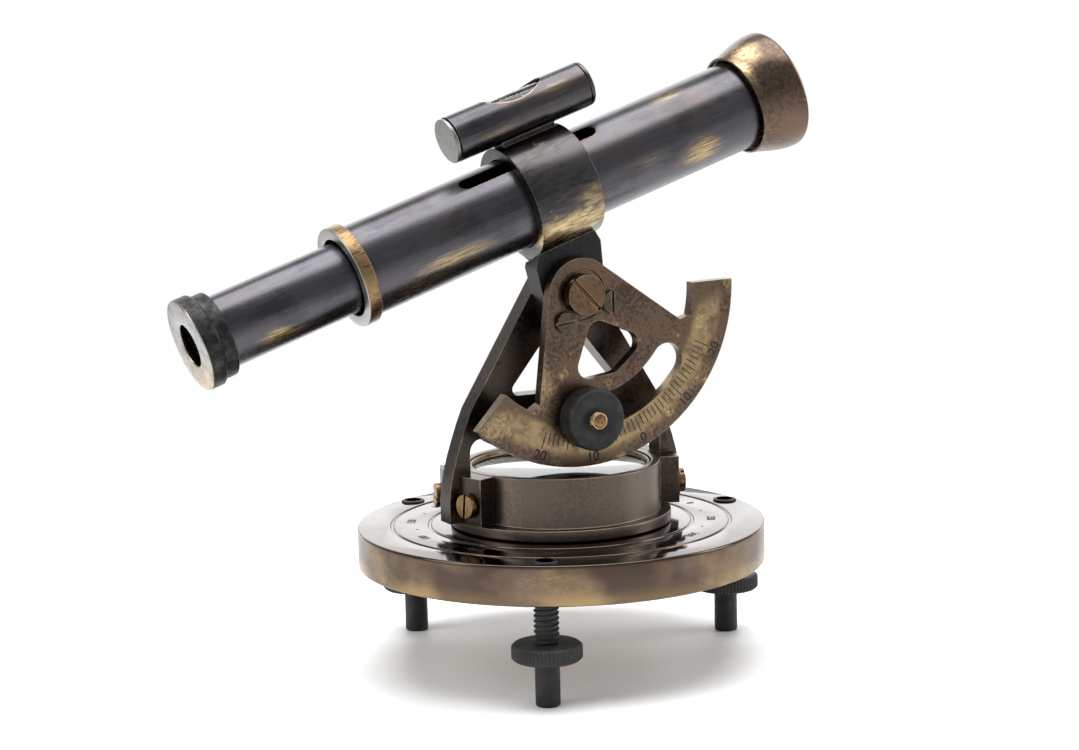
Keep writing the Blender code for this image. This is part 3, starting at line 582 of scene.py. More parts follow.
def gauge_wear(p):
    """Gold rubbed in around the quadrant's graduations and along the tips of its arms."""
    r = p.radius((1, 0, 1))
    band = p.times(p.ramp(r, 31.5, 33.5), p.ramp(r, 40.5, 37.5))
    low = p.times(band, p.ramp(p.part("Z"), -16.0, -21.0))
    return p.times(low, p.ramp(p.noise(0.35, 5.0), 0.34, 0.6, 0.10, 0.42))


def cap_face(name):
    """Eyepiece cap: black, with a satin silver-grey face that is warm towards its lower edge."""
    p = Paint(name)
    fine = p.noise(1.2, 5.0)
    front = p.ramp(p.part("X"), CAP_FACE + 0.45, CAP_FACE + 0.15)
    black = p.mix(p.ramp(p.noise(0.5), 0.35, 0.65), (0.022, 0.022, 0.022), (0.050, 0.049, 0.047))
    grey = p.mix(p.ramp(p.part("Z"), 2.0, -9.0), (0.40, 0.39, 0.39), (0.50, 0.40, 0.27))
    grey = p.mix(p.ramp(p.noise(0.3), 0.35, 0.7), grey, (0.26, 0.23, 0.21))
    rub = p.times(p.edges(0.35, 0.03, 0.25), p.ramp(p.part("X"), CAP_FACE + 2.5, CAP_FACE + 1.0))
    rough = p.mix(front, p.ramp(fine, 0.3, 0.7, 0.40, 0.55), p.ramp(fine, 0.3, 0.7, 0.24, 0.36))
    return p.finish(p.mix(rub, p.mix(front, black, grey), PALE_GOLD), rough, p.noise(3.0, 4.0, (0.1, 1, 1)),
                    0.10, 0.05)


SKIN = {
    "plate": polished_plate("plate_bronze"),
    "box": patina(
        "box_bronze", (0.118, 0.093, 0.078), (0.190, 0.150, 0.120), wear=(0.68, 0.84), rough=(0.28, 0.40),
        edge=1.0, tone=0.045, speck=0.06),
    "frame": patina(
        "frame_bronze", (0.036, 0.030, 0.026), (0.100, 0.080, 0.064), wear=(0.66, 0.82), rough=(0.26, 0.44),
        edge=0.85, tone=0.10),
    "stem": patina(
        "stem_black", (0.020, 0.020, 0.021), (0.048, 0.046, 0.045), wear=(0.75, 0.95), rough=(0.30, 0.46),
        edge=0.35, speck=0.05),
    "quadrant": patina(
        "quadrant_bronze", (0.070, 0.046, 0.040), (0.215, 0.150, 0.092), gold=(0.46, 0.31, 0.12),
        wear=(0.58, 0.76), rough=(0.26, 0.40), edge=1.0, speck=0.25, extra=gauge_wear,
        blobs=(((-19.0, QUAD_FRONT, -12.0), (4.5, 9.0, 20.0), 0.3, 0.9, 0.50),
               ((40.0, QUAD_FRONT, -18.0), (4.0, 9.0, 14.0), 0.35, 0.9, 0.50),
               ((10.0, QUAD_FRONT, -34.0), (20.0, 9.0, 3.5), 0.3, 0.9, 0.35),
               ((-34.0, QUAD_FRONT, -18.0), (8.0, 9.0, 5.0), 0.35, 0.9, 0.50))),
    "collar": patina(
        "collar_bronze", (0.050, 0.046, 0.047), (0.105, 0.096, 0.094), gold=(0.46, 0.31, 0.12),
        wear=(0.68, 0.84), rough=(0.24, 0.36), grain=(0.25, 1, 1), edge=1.0, speck=0.08, edge_radius=0.3,
        blobs=(((-1.0, -11.5, -8.5), (18.0, 7.5, 5.6), 0.22, 0.75, 0.85),
               ((6.0, -14.0, -3.0), (6.0, 5.0, 5.0), 0.35, 0.9, 0.35))),
    "hood": patina(
        "hood_bronze", (0.080, 0.055, 0.043), (0.175, 0.118, 0.080), wear=(0.70, 0.86), rough=(0.24, 0.36),
        edge=0.9, speck=0.10, tone=0.06,
        # Both gold blobs on the hood's upper front are a painted highlight where light falls on the flare,
        # not wear.
        blobs=(((62.0, -4.5, 12.5), (4.5, 7.0, 5.0), 0.3, 0.95, 0.75),
               ((58.6, -8.0, 8.5), (2.2, 7.0, 9.0), 0.3, 0.95, 0.65))),
    "tube": tube_finish("tube_gunmetal", (
        ((-32.0, -10.2, -4.0), (14.0, 4.6, 2.8), 0.80), ((-42.0, -9.0, -6.4), (8.0, 4.0, 2.4), 0.45),
        ((39.5, -9.8, -4.6), (8.0, 5.0, 5.0), 0.90), ((37.0, -4.0, 10.2), (6.0, 3.5, 2.2), 0.65),
        ((24.0, -9.8, -1.0), (6.0, 4.0, 3.0), 0.25))),
    "draw": tube_finish("draw_gunmetal", (
        ((-79.0, -7.6, -4.2), (7.0, 3.6, 2.4), 1.0), ((-75.0, -7.0, -5.0), (6.0, 3.0, 1.6), 0.8))),
    "vial": tube_finish("vial_gunmetal", (
        ((-8.0, -4.9, -2.2), (9.0, 3.0, 2.2), 0.25), ((10.0, -4.6, 2.6), (7.0, 3.0, 2.2), 0.25)),
        mid=(0.096, 0.089, 0.094)),
    "plug": patina(
        "plug_satin", (0.20, 0.20, 0.19), (0.34, 0.33, 0.31), wear=(0.75, 0.9), rough=(0.34, 0.50), edge=0.5,
        speck=0.1, tone=0.3),
    "ring": end_ring_brass("ring_brass"),
    "inner": brushed_brass("inner_brass", low=0.3, high=0.5),
    "rim": brushed_brass("rim_brass", dark=(0.045, 0.036, 0.028), low=0.42, high=0.66),
    "screw": brushed_brass(
        "screw_copper", dark=(0.15, 0.075, 0.045), low=0.42, high=0.66, rough=(0.26, 0.42)),
    "dark_screw": patina(
        "screw_dark", (0.060, 0.048, 0.038), (0.150, 0.115, 0.080), wear=(0.6, 0.75), rough=(0.26, 0.4),
        edge=0.9, tone=0.4),
    "pivot": patina(
        "pivot_copper", (0.105, 0.062, 0.040), (0.200, 0.132, 0.080), wear=(0.62, 0.78), rough=(0.24, 0.38),
        edge=0.9, tone=0.25, speck=0.35),
    "black": black_oxide("stud_black", 0.011),
    "knob": black_oxide("knob_black", 0.014, 0.35),
    "clamp": black_oxide("clamp_black", 0.014, 0.4),
    "void": black_oxide("inner_black", 0.008, 0.0),
    "cap": cap_face("cap_satin"),
    "steel": brushed_brass("turned_steel", dark=(0.30, 0.30, 0.30)),
    "glass": clear_glass("window_glass"),
    "lens": clear_glass("lens_glass", (0.75, 0.82, 0.88)),
    "spirit": clear_glass("spirit_glass", (0.70, 0.80, 0.62)),
    "card": card_print("card_paper"),
    "ink": ink("card_ink", (0.015, 0.015, 0.018)),
    "stamp": ink("stamp_dark", (0.020, 0.014, 0.010), 0.5, 0.6),
    "needle": ink("needle_blue", (0.020, 0.030, 0.080), 0.3, 0.9),
}


# Base and levelling screws


def screw_place(angle):
    return SCREW_PITCH_R * math.cos(math.radians(angle)), SCREW_PITCH_R * math.sin(math.radians(angle))


def groove(radius, width=1.0, depth=0.45):
    """Points of an engraved ring, from outside in, on the plate's face."""
    return [(radius + width / 2, 0), (radius + width * 0.28, -depth), (radius - width * 0.28, -depth),
            (radius - width / 2, 0)]


def build_plate():
    """Plate with a recess below, two engraved rings, holes for the studs and stamped degrees."""
    low = PLATE_Z - TOP
    profile = [(0, low + 3.0), (9.0, low + 3.0), (9.0, low), (PLATE_R, low), (PLATE_R, 0)]
    for radius in GROOVES:
        profile += groove(radius)
    holes = []
    for angle in SCREW_ANGLES:
        x, y = screw_place(angle)
        holes.append(moved(rod(3.1, low - 1, 1, 48), shift(x, y, 0) @ turn(3, "Z")))
    turned("plate_look", "base_plate", profile + [(0, 0)], DECK, "plate", 192, "Z", 0.5, cuts=holes)
    shapes = []
    for step in range(24):
        angle = 15 * step
        words, size = (str(angle), 3.0) if step % 2 == 0 else (".", 4.0)
        shapes.append(moved(lettering(words, size, 0.10), turn(angle - 90, "Z") @ shift(0, NUMBERS_R, -0.06)))
    piece("plate_numbers", gathered(shapes), DECK, "stamp", like="base_plate")


def thread(radius, pitch, low, high, depth, segments=40):
    """A helical thread about Z, with plain ends, closed on the axis."""
    turns = int((high - low) / pitch) + 3
    shape = [(0.0, radius - depth), (0.18, radius - depth), (0.48, radius), (0.70, radius)]
    bm = bmesh.new()
    columns = []
    for i in range(segments + 1):
        part = i / segments
        x, y = math.cos(2 * math.pi * part), math.sin(2 * math.pi * part)
        column = []
        for k in range(turns):
            for share, r in shape:
                z = low + (k - 1 + share + part) * pitch
                column.append(bm.verts.new((r * x, r * y, min(max(z, low), high))))
        columns.append(column)
    for left, right in zip(columns, columns[1:]):
        for k in range(len(left) - 1):
            bm.faces.new((left[k], right[k], right[k + 1], left[k + 1]))
    bmesh.ops.remove_doubles(bm, verts=bm.verts, dist=1e-5)
    bmesh.ops.dissolve_degenerate(bm, edges=bm.edges, dist=1e-6)
    return bm


def build_levelling_screw(number, angle):
    """Stud with a plain foot, a threaded neck below the plate, and a knurled knob."""
    place = BASE @ at(*screw_place(angle), 0)
    neck, low, high = 2.62, KNOB_LOW, KNOB_HIGH
    stud = lathe([(0, 0), (2.95, 0), (2.95, low + 1.0), (2.5, low + 1.0), (2.5, high + 0.2),
                  (neck, high + 0.2), (neck, TOP + 0.5), (0, TOP + 0.5)], 64, round_by=0.5)
    stud = gathered([stud, thread(3.0, 1.25, high + 0.3, PLATE_Z + 1.0, 0.55)])
    top = lathe(band(0, 2.98, TOP - 3, TOP + 0.5), 64, round_by=0.35)
    piece(f"stud_{number}_look", gathered([stud, top]), place, "black", f"levelling_stud_{number}")
    teeth, r = 56, KNOB_R
    profile = [(neck, low), (r - 0.7, low), (r - 0.05, low + 0.55, 1), (r, low + 0.75, 1),
               (r, high - 0.75, 1), (r - 0.05, high - 0.55, 1), (r - 0.7, high), (neck, high)]
    knob = lathe(profile, teeth * 6, wave=knurl(teeth, 0.035), round_by=0)
    piece(f"knob_{number}_look", knob, place, "knob", f"levelling_knob_{number}", sharp=50)


def build_bolt():
    """Slotted bolt up through the plate's middle, and the friction washer in the recess."""
    head, shank, tip = PLATE_Z + 0.4, 1.95, TOP + 2.9
    bolt = [(0, head), (6.0, head), (6.0, head + 1.6), (shank, head + 1.6), (shank, tip), (0, tip)]
    turned("bolt_look", "centre_bolt", bolt, BASE, "steel", 64, "Z", 0.35,
           cuts=[block((16, 1.2, 1.4), (0, 0, head))], bevel=0.1)
    z = PLATE_Z + 2.3
    turned("washer_look", "friction_washer", band(2.2, 7.5, z, z + 0.5), BASE, "inner", 64, "Z", 0.12)


# Compass box


def build_compass():
    """Flanged box, and in it the card on its support, the needle's pin, the glass and its ring."""
    seat = GLASS_LOW - 0.3
    box = [(2.1, 0.3), (FLANGE_R, 0.3), (FLANGE_R, FLANGE_TOP), (BOX_R, FLANGE_TOP), (BOX_R, BOX_TOP),
           (BOX_BORE, BOX_TOP), (BOX_BORE, seat), (BOX_BORE - 1.2, seat), (BOX_BORE - 1.2, 3.0), (2.1, 3.0)]
    turned("box_look", "compass_box", box, DECK, "box", 160, "Z", 0.35, cuts=foot_holes(1.25, 24, 3))
    card = band(1.4, CARD_R, CARD_LOW, CARD_HIGH)
    turned("card_look", "compass_card", card, DECK, "card", 128, "Z", 0.05)
    turned("support_look", "card_support", band(1.4, CARD_R - 3, 3.3, CARD_LOW - 0.3), DECK, "inner", 64, "Z")
    post = [(0, 3.2), (1.1, 3.2), (1.1, 7.4), (0.45, 8.4), (0, 9.4)]
    turned("post_look", "needle_pivot", post, DECK, "steel", 32, "Z", 0.1)
    glass = band(0, GLASS_R, GLASS_LOW, GLASS_HIGH)
    turned("glass_look", "compass_glass", glass, DECK, "glass", 128, "Z", 0.1)
    low, high = GLASS_HIGH + 0.2, BOX_TOP - 0.4
    ring = [(GLASS_R - 1, low), (GLASS_R, low), (GLASS_R, high), (GLASS_R - 0.5, high)]
    turned("ring_look", "glass_ring", ring, DECK, "rim", 128, "Z", 0.12)
    build_rose()


def build_rose():
    """Degree ring, cardinal letters and an eight-point star printed on the card."""
    low, high = CARD_HIGH + 0.03, CARD_HIGH + 0.09
    marks = []
    for step in range(72):
        length = 2.0 if step % 6 == 0 else 1.2 if step % 2 == 0 else 0.7
        width = 0.22 if step % 6 == 0 else 0.12
        mark = block((width, length, 0.06), (0, 20.6 - length / 2, CARD_HIGH + 0.06))
        marks.append(moved(mark, turn(5 * step, "Z")))
    for step in range(12):
        if step % 3:
            text = lettering(str((360 - 30 * step) % 360), 1.9, 0.06)
            marks.append(moved(text, turn(30 * step, "Z") @ shift(0, 17.2, low)))
    for step, letter in enumerate("NWSE"):
        text = lettering(letter, 3.6, 0.06)
        marks.append(moved(text, turn(90 * step, "Z") @ shift(0, 16.4, low)))
    for r in (20.75, 13.4):
        marks.append(lathe(band(r, r + 0.16, low, high), 96, round_by=0))
    for step in range(8):
        reach = 12.6 if step % 2 == 0 else 8.2
        half = prism([(0, 2.6), (0, reach), (1.9, 2.6 * 0.9)], low, high, "Z")
        marks.append(moved(half, turn(45 * step, "Z")))
    piece("rose_look", gathered(marks), DECK, "ink", like="compass_card")


def build_needle():
    """Lozenge needle with a brass cap on its pin."""
    low, z = NEEDLE_LOW, NEEDLE_HIGH
    outline = [(-NEEDLE_L, 0), (-1.7, -1.9), (1.7, -1.9), (NEEDLE_L, 0), (1.7, 1.9), (-1.7, 1.9)]
    piece("needle_look", prism(outline, low, z, "Z"), DECK, "needle", "compass_needle",
          cuts=[rod(1.0, low - 1, low + 2, 32)], bevel=0.12)
    cap = [(0, z + 0.95), (0.5, z + 0.9), (1.55, z + 0.25), (1.55, z + 0.1), (0.95, z + 0.1), (0.4, z + 0.45),
           (0, z + 0.5)]
    turned("cap_look", "needle_cap", cap, DECK, "inner", 32, "Z", 0.08)


# A-frame


def lay(x, y):
    """Rotation that carries +Z to a horizontal direction."""
    return Vector((0, 0, 1)).rotation_difference(Vector((x, y, 0))).to_matrix().to_4x4()


def foot_screws():
    """Direction and slot angle of each foot screw."""
    angles = [start + side * FOOT_SCREW_ANGLE for start in (0, 180) for side in (-1, 1)]
    spins = (20, 95, 60, 10)
    return [(math.cos(math.radians(a)), math.sin(math.radians(a)), spin) for a, spin in zip(angles, spins)]


def foot_holes(radius, reach, high):
    """Cutters for the foot screws, from a distance to the middle outwards."""
    spots = [(shift(x * reach, y * reach, FOOT_SCREW_Z) @ lay(x, y)) for x, y, _ in foot_screws()]
    return [moved(rod(radius, -3, high, 24), spot) for spot in spots]


def frame_outline(pivot_height):
    """Two splayed legs that meet in a round hub, with a crossbar arched concentric with the pivot."""
    hub, knee, bar = 7.6, (25.9, 30.8), 41.6
    reach = math.hypot(knee[0], pivot_height - knee[1])
    bearing = math.degrees(math.atan2(knee[1] - pivot_height, knee[0]))
    tangent = bearing + math.degrees(math.acos(hub / reach))
    right = [(26.5, FOOT_LOW), (32.3, FOOT_LOW), (32.3, 8.5), (31.9, 12.4), (31.2, 15.8), (30.2, 19.4),
             (28.9, 23.2), (27.5, 27.0), knee]
    top = arc(0, pivot_height, hub, tangent, 180 - tangent, 40)
    sweep = math.degrees(math.asin(20.2 / bar))
    arch = [(-26.5, 20.4), (-26.3, 21.5), (-25.7, 22.5), (-24.9, 23.2), (-24.0, 23.5), (-23.0, 23.5),
            (-22.0, 23.1)]
    lower = arc(0, pivot_height, bar, 270 - sweep, 270 + sweep, 40)
    return right + top + mirrored(right) + arch + lower + mirrored(arch)


def mirrored(points):
    """The points on the other side of the middle, in the order that carries an outline on."""
    return [(-x, z) for x, z in reversed(points)]


def build_a_frame():
    """Flat frame with curved foot pads that are screwed to the box's sides."""
    height = PIVOT_Z - TOP
    pads, holes = [], []
    for start in (0, 180):
        ends = start - FOOT_HALF_ANGLE, start + FOOT_HALF_ANGLE
        plan = arc(0, 0, FOOT_R, *ends, 32) + arc(0, 0, BOX_R + 0.2, *reversed(ends), 32)
        pads.append(prism(plan, FOOT_LOW + 0.05, FOOT_HIGH, "Z"))
    window = soften([(-16.4, 33.3), (16.4, 33.3), (1.2, 52.0), (-1.2, 52.0)], 1.6, 6)
    holes.append(prism(window, FRAME_FRONT - 2, FRAME_BACK + 2))
    holes.append(rod(BOX_R + 0.2, 0, BOX_TOP + 1, 160))
    holes.append(cross_rod(BORE, -8, 4, z=height))
    holes.append(cross_rod(2.2, -8, 4, z=height - STUD_DROP))
    piece("a_frame_look", prism(frame_outline(height), FRAME_FRONT, FRAME_BACK), DECK, "frame",
          "a_frame", joins=pads, cuts=holes + foot_holes(1.3, 27, 6), bevel=0.32)


def build_screw(node, sizes, place, spin, skin):
    """A slotted cheese-head screw along +Z, with its head's underside at z = 0."""
    head, thick, shank, length, width = sizes
    profile = [(0, -length), (shank, -length), (shank, 0), (head, 0), (head, thick), (0, thick)]
    body = moved(lathe(profile, 64, round_by=0.22), turn(spin, "Z"))
    slot = moved(block((head * 2.4, width, thick * 1.3), (0, 0, thick)), turn(spin, "Z"))
    piece(f"{node}_look", body, place, skin, node, cuts=[slot], bevel=0.06)


def build_frame_fasteners():
    """Foot screws, and the clamp's stud and knurled knob."""
    for number, (x, y, spin) in enumerate(foot_screws(), 1):
        place = DECK @ at(x * (FOOT_R + 0.1), y * (FOOT_R + 0.1), FOOT_SCREW_Z) @ lay(x, y)
        build_screw(f"foot_screw_{number}", (3.0, 1.7, 1.1, 4.6, 0.8), place, spin, "screw")
    tip = 23.6
    stud = lathe([(0, -2.4), (3.4, -2.4), (3.4, -0.2), (1.75, -0.2), (1.75, tip), (0, tip)], 64, round_by=0.4)
    piece("clamp_stud_look", gathered([stud, thread(2.0, 0.7, 13.5, tip - 0.4, 0.25, 32)]),
          PIVOT @ at(0, FRAME_BACK, -STUD_DROP) @ turn(90, "X"), "screw", "clamp_stud")
    teeth = 64
    profile = [(2.12, 0), (5.2, 0), (5.2, 0.6), (7.1, 0.6), (7.5, 0.85, 1), (7.6, 1.05, 1), (7.6, 6.0, 1),
               (7.5, 6.2, 1), (7.1, 6.5), (3.4, 6.5), (3.0, 6.2), (2.12, 6.2)]
    knob = lathe(profile, teeth * 6, wave=knurl(teeth, 0.03), round_by=0)
    place = PIVOT @ at(0, QUAD_FRONT - 0.3, -STUD_DROP) @ turn(90, "X")
    piece("clamp_knob_look", knob, place, "clamp", "clamp_knob", sharp=45)


# Tilting head


def quadrant_outline():
    """Graduated sector: round top over the pivot, straight flanks, and a rim with two horns."""
    top, horn = 8.9, 23.0
    notch = (21.6, -18.7)
    bearing = math.degrees(math.atan2(notch[1], notch[0]))
    tangent = bearing + math.degrees(math.acos(top / math.hypot(*notch)))
    outer = arc(0, 0, QUAD_R, 180 + horn, 360 - horn, 120)
    inner = arc(0, 0, RIM_R, -horn, -38.0, 16) + [notch]
    hub = arc(0, 0, top, tangent, 180 - tangent, 40)
    return outer + inner + hub + mirrored(inner)


def small_screws():
    """Sideways and upward place of the two screws that hold the quadrant to the stem."""
    return [(side * SMALL_SCREW[0], SMALL_SCREW[1]) for side in (-1, 1)]


def build_quadrant():
    """Quadrant plate with a window, a curved slot for the clamp stud and a sunk seat for the screw."""
    window = soften([(0, -6.4), (-11.4, -18.4), (0, -21.8), (11.4, -18.4)], 3.0, 16)
    middle, half = (SLOT_R0 + SLOT_R1) / 2, (SLOT_R1 - SLOT_R0) / 2
    start, end = 270 - SLOT_ANGLE, 270 + SLOT_ANGLE
    ends = [(middle * math.cos(math.radians(a)), middle * math.sin(math.radians(a))) for a in (start, end)]
    slot = arc(0, 0, SLOT_R1, start, end, 60)
    slot += arc(*ends[1], half, end, end + 180, 20)[1:-1]
    slot += arc(0, 0, SLOT_R0, end, start, 60)
    slot += arc(*ends[0], half, start + 180, start + 360, 20)[1:-1]
    low, high = QUAD_FRONT - 1, QUAD_BACK + 1
    cuts = [prism(window, low, high), prism(slot, low, high), cross_rod(BORE, -15, -10, 48)]
    cuts.append(moved(rod(6.3, -0.55, 2.0, 96), shift(0, QUAD_FRONT, 0) @ turn(90, "X") @ turn(1, "Z")))
    for x, z in small_screws():
        hole = shift(x, 0, z) @ turn(-90, "X")
        cuts.append(moved(rod(1.4, -15, -10, 32), Matrix.Rotation(QUAD_ROLL, 4, "Y") @ hole))
    piece("quadrant_look", prism(quadrant_outline(), QUAD_FRONT, QUAD_BACK), QUAD, "quadrant",
          "quadrant", cuts=cuts, bevel=0.28)
    build_scale()


def build_scale():
    """Graduations and numerals engraved on the quadrant's rim, 2.1 degrees to a unit."""
    unit, inner_end, numeral_z = 2.1, -34.4, -40.3
    marks = []
    for step in range(-20, 21):
        length = 4.2 if step % 10 == 0 else 3.7 if step % 5 == 0 else 3.0
        mark = block((0.26, 0.12, length), (0, QUAD_FRONT + 0.035, inner_end - length / 2))
        marks.append(moved(mark, turn(-unit * step, "Y")))
    for step in (-20, -10, 0, 10, 20):
        text = lettering(str(abs(step)), 3.4, 0.12)
        place = turn(-unit * step, "Y") @ shift(0, QUAD_FRONT + 0.095, numeral_z) @ turn(90, "X")
        marks.append(moved(text, place))
    piece("scale_marks", gathered(marks), QUAD, "stamp", like="quadrant")


def build_stem():
    """Casting that joins the quadrant to the collar: a flat tongue that widens into a saddle."""
    low, high, knee, top = -5.0, 9.6, 9.6, 14.2
    tongue = [(-8.0, knee), (low, top), (high, top), (10.8, knee), (9.2, 3.0), (9.2, -6.8), (7.6, -8.3),
              (-7.6, -8.3), (-9.2, -6.8)]
    back, rear = 3.4, FRAME_FRONT - 0.3
    saddle = [(TONGUE_FRONT, top), (back, top), (back, 11.6), (rear, 8.1), (TONGUE_FRONT, 8.1)]
    cuts = [moved(rod(COLLAR_R + 0.15, -20, 20, 128, "X"), shift(0, AXIS_Y, AXIS_V)),
            cross_rod(BORE, -12, -3, 48)]
    for x, z in small_screws():
        cuts.append(moved(rod(1.4, -12, -8, 32), shift(x, 0, z) @ turn(-90, "X")))
    piece("stem_look", prism(tongue, TONGUE_FRONT, rear), TILT, "stem", "stem",
          joins=[prism(saddle, low, high, "X")], cuts=cuts, bevel=0.3)


def build_head_fasteners():
    """Pivot screw with its nut behind the frame, and the two small screws."""
    under = QUAD_FRONT - 0.2
    facing = turn(90, "X")
    build_screw("pivot_screw", (5.0, 2.6, 2.5, 19.8, 1.0), TILT @ at(0, under, 0) @ facing, -65, "pivot")
    hexagon = prism(arc(0, 0, 4.9, 0, 300, 5), FRAME_BACK + 0.3, FRAME_BACK + 3.7)
    piece("nut_look", hexagon, TILT, "dark_screw", "pivot_nut",
          cuts=[moved(rod(BORE, 0, 7, 48), turn(-90, "X"))], bevel=0.25)
    for side, (x, z), spin in zip(("left", "right"), small_screws(), (-12, 72)):
        place = TILT @ at(x, under, z) @ facing
        build_screw(f"quadrant_screw_{side}", (2.7, 1.3, 1.2, 5.0, 0.7), place, spin, "dark_screw")


def build_collar():
    """Collar round the tube, and the guide key that stands in the tube's slot."""
    ring = band(COLLAR_BORE, COLLAR_R, -COLLAR_HALF, COLLAR_HALF)
    seat = moved(rod(1.6, 9, 16, 48), KEY_ROLL @ turn(3, "Z"))
    turned("collar_look", "collar", ring, COLLAR, "collar", 160, round_by=0.3, cuts=[seat])
    key = moved(rod(1.45, 10.4, COLLAR_R, 48), KEY_ROLL)
    piece("key_look", key, COLLAR, "dark_screw", "guide_key", bevel=0.2)


def build_vial():
    """Spirit level: tube with a window, glass and bubble, two end plugs, and a saddle on the collar."""
    end = VIAL_HALF
    outline = [(x, y / 2) for x, y in arc(0, 0, 8.6, 0, 360, 64)[:-1]]
    turned("vial_look", "vial_tube", band(VIAL_BORE, VIAL_R, -end, end), VIAL, "vial", 128, round_by=0.12,
           cuts=[prism(outline, 0, 8, "Z")], bevel=0.12)
    glass = band(0, 4.9, 3.0 - end, end - 3.0)
    turned("vial_glass_look", "vial_glass", glass, VIAL, "spirit", 64, round_by=0.8)
    profile = [(0, -3.2), (0.8, -3.0), (1.25, -1.6), (1.3, 0), (1.25, 1.6), (0.8, 3.0), (0, 3.2)]
    bubble = moved(lathe(profile, 32, "X", round_by=0.5), shift(4.4, 0, 3.45))
    piece("bubble_look", bubble, VIAL, "glass", like="vial_glass")
    plug = [(0, end - 2.6), (4.9, end - 2.6), (4.9, end + 0.3), (5.55, end + 0.3), (5.55, end + 1.3),
            (0, end + 1.4)]
    turned("plug_front_look", "vial_plug_front", plug, VIAL, "vial", round_by=0.3)
    turned("plug_rear_look", "vial_plug_rear", [(r, -u) for r, u in plug], VIAL, "plug", round_by=0.3)
    low, high = 13.0, VIAL_V - VIAL_R + 0.9
    saddle = prism(band(-2.9, 2.9, low, high), -7.4, 7.4, "X")
    cuts = [rod(COLLAR_R + 0.12, -15, 15, 128, "X")]
    cuts.append(moved(rod(VIAL_R + 0.12, -15, 15, 96, "X"), shift(0, 0, VIAL_V)))
    piece("saddle_look", saddle, COLLAR, "stem", "vial_saddle", cuts=cuts, bevel=0.12)


# Telescope


def build_main_tube():
    """Slotted tube with its end ring and bush, and the flared hood with the objective."""
    half = KEY_HALF
    slot = arc(KEY_U1 - half, 0, half, -90, 90, 20) + arc(KEY_U0 + half, 0, half, 90, 270, 20)
    turned("main_tube_look", "main_tube", band(TUBE_BORE, TUBE_R, TUBE_REAR, TUBE_FRONT), SCOPE, "tube", 160,
           round_by=0.1, cuts=[moved(prism(slot, 7, 15, "Z"), KEY_ROLL)])
    ring = [(9.65, RING_FACE), (12.4, RING_FACE), (12.4, -52.9), (11.32, -52.9), (11.32, -55.7),
            (9.65, -55.7)]
    turned("end_ring_look", "end_ring", ring, SCOPE, "ring", 160, round_by=0.28)
    turned("bush_look", "tube_bush", band(8.87, 10.18, -53.0, -47.0), SCOPE, "void")
    near, far, steps = 57.5, 69.6, 24
    hood = [(12.1, near), (12.45, near, 1), (12.68, near + 0.1, 1)]
    for i in range(steps + 1):
        t = i / steps
        flare = 12.75 + 2.45 * math.sin(t * math.pi / 2) ** 1.25
        hood.append((flare, near + 0.3 + t * (far - near - 1.0), 1))
    hood += [(15.15, far - 0.35, 1), (15.0, far - 0.1, 1), (14.7, far, 1), (14.1, far), (12.9, far - 2.2),
             (12.1, far - 4.6), (11.6, 61.2), (11.32, 61.2), (11.32, 58.6), (12.1, 58.2)]
    turned("hood_look", "objective_hood", hood, SCOPE, "hood", 160, round_by=0.3)
    cell = [(8.9, 61.5), (11.3, 61.5), (11.3, 63.2), (9.4, 63.2)]
    turned("cell_look", "lens_ring", cell, SCOPE, "void")
    lens = [(0, 57.4), (2.0, 57.45), (4.0, 57.6), (5.8, 57.82), (7.5, 58.1), (9.0, 58.45), (10.1, 58.8),
            (10.1, 60.3), (8.6, 60.7), (7.0, 60.95), (5.0, 61.2), (2.5, 61.35), (0, 61.4)]
    turned("lens_look", "objective_lens", lens, SCOPE, "lens", round_by=0.1)


def build_draw_tube():
    """Draw tube with its sleeve and field stop, and the eyepiece cap with the eye lens."""
    tube = band(DRAW_BORE, DRAW_R, DRAW_REAR, DRAW_FRONT)
    turned("draw_tube_look", "draw_tube", tube, SCOPE, "draw", 128, round_by=0.1)
    turned("sleeve_look", "draw_sleeve", band(8.87, 10.18, -30.0, -22.6), SCOPE, "inner")
    turned("stop_look", "field_stop", band(4.2, 8.65, -21.7, -20.9), SCOPE, "void", round_by=0.1)
    cap = [(4.9, CAP_FACE), (11.15, CAP_FACE), (11.15, -93.3), (10.5, -93.0), (10.3, -92.6),
           (10.3, -89.5), (8.87, -89.5), (8.87, -92.3), (7.2, -92.3), (7.2, -94.8), (5.6, -95.6)]
    turned("eyepiece_look", "eyepiece_cap", cap, SCOPE, "cap", 160, round_by=0.4)
    lens = [(0, -94.5), (3.5, -94.3), (6.9, -93.6), (6.9, -92.4), (3.5, -91.9), (0, -91.7)]
    turned("eye_lens_look", "eye_lens", lens, SCOPE, "lens", 64)


# Camera, floor and light


def build_camera():
    """Main view: from the front, the telescope's plane turned 27 degrees from the view plane."""
    psi = math.radians(27.0)
    rise = math.radians(8.79)
    roll = math.radians(-1.31)
    distance = 620.0
    aim = Vector((-4.52, 0.0, 36.79))
    eye = aim + distance * Vector((0, -math.cos(rise), math.sin(rise)))
    ahead = (aim - eye).normalized()
    right = Vector((1, 0, 0))
    up = right.cross(ahead)
    side = math.cos(roll) * right + math.sin(roll) * up
    top = -math.sin(roll) * right + math.cos(roll) * up
    into_part = DECK @ Matrix.Rotation(-psi, 4, "Z")
    axes = Matrix((side, top, -ahead)).transposed().to_4x4()
    data = bpy.data.cameras.new("view")
    data.sensor_width = 36.0
    data.lens = 83.36
    data.clip_start = 0.01
    data.clip_end = 50.0
    camera = bpy.data.objects.new("view", data)
    bpy.context.scene.collection.objects.link(camera)
    camera.matrix_world = into_part @ at(*eye) @ axes
    bpy.context.scene.camera = camera
    return into_part


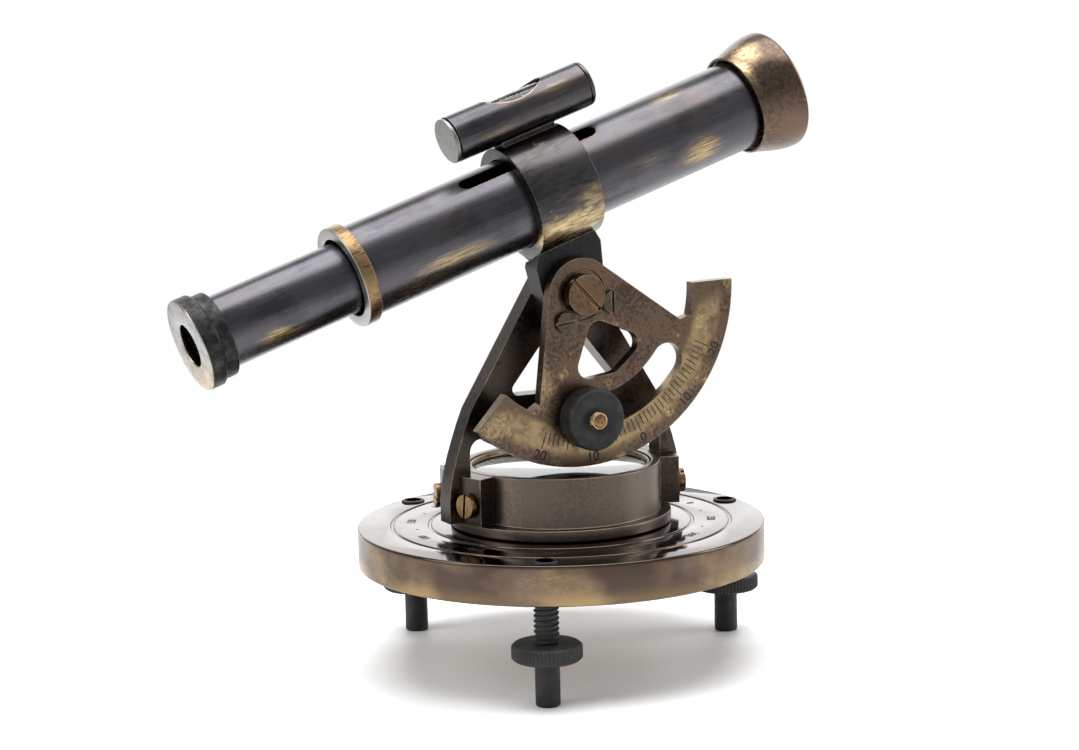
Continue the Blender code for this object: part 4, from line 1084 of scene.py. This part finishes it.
def build_floor():
    """White paper that fades into the bright sweep of the studio away from the instrument."""
    bm = bmesh.new()
    bmesh.ops.create_circle(bm, cap_ends=True, radius=20000, segments=96)
    floor = raw_object("floor", bm, Matrix.Identity(4))
    p = Paint("floor_paper", metallic=0.0, roughness=0.5)
    body = p.mix(p.noise(0.2), (0.90, 0.90, 0.90), (0.87, 0.87, 0.87))
    p.put(p.bsdf, {"Base Color": body, "Specular IOR Level": 0.3})
    sweep = p.node("Emission", 0, {"Strength": 1.0})
    away = p.ramp(p.radius((1, 1, 0)), 180.0, 420.0)
    blend = p.node("MixShader", 0, {0: away, 1: p.bsdf.outputs[0], 2: sweep})
    p.put(p.tree.nodes["Material Output"], {"Surface": blend})
    floor.data.materials.append(p.mat)


def area_light(name, into, place, target, size, power, colour=(1, 1, 1)):
    """A rectangular softbox. place and target are in the camera's upright frame, in metres."""
    data = bpy.data.lights.new(name, "AREA")
    data.shape = "RECTANGLE"
    data.size, data.size_y = size
    data.energy = power
    data.color = colour
    light = bpy.data.objects.new(name, data)
    bpy.context.scene.collection.objects.link(light)
    look = (Vector(target) - Vector(place)).to_track_quat("-Z", "Y").to_matrix().to_4x4()
    light.matrix_world = into @ Matrix.Translation(place) @ look


def build_light(into):
    world = bpy.data.worlds.new("studio")
    bpy.context.scene.world = world
    world.use_nodes = True
    nodes, links = world.node_tree.nodes, world.node_tree.links
    back = nodes["Background"]
    back.inputs["Color"].default_value = (1, 1, 1, 1)
    back.inputs["Strength"].default_value = 1.0
    dim = nodes.new("ShaderNodeBackground")
    dim.inputs["Color"].default_value = (0.96, 0.98, 1.0, 1)
    dim.inputs["Strength"].default_value = 0.45
    path = nodes.new("ShaderNodeLightPath")
    mixer = nodes.new("ShaderNodeMixShader")
    links.new(path.outputs["Is Camera Ray"], mixer.inputs[0])
    links.new(dim.outputs[0], mixer.inputs[1])
    links.new(back.outputs[0], mixer.inputs[2])
    links.new(mixer.outputs[0], nodes["World Output"].inputs["Surface"])
    area_light("top_box", into, (0.0, 0.05, 0.95), (0, 0, 0.03), (1.1, 0.8), 14.0)
    area_light("left_box", into, (-0.85, -0.35, 0.55), (0, 0, 0.06), (0.5, 0.9), 5.0)
    area_light("right_box", into, (0.95, 0.1, 0.45), (0, 0, 0.06), (0.4, 0.8), 4.0)
    area_light("back_box", into, (0.0, 1.0, 0.45), (0, 0, 0.05), (1.6, 0.7), 6.0)


bpy.context.scene.view_settings.view_transform = "Standard"
bpy.context.scene.view_settings.look = "None"

into_part = build_camera()
build_floor()
build_light(into_part)
build_plate()
for number, angle in enumerate(SCREW_ANGLES, 1):
    build_levelling_screw(number, angle)
build_bolt()
build_compass()
build_needle()
build_a_frame()
build_frame_fasteners()
build_quadrant()
build_stem()
build_head_fasteners()
build_collar()
build_vial()
build_main_tube()
build_draw_tube()
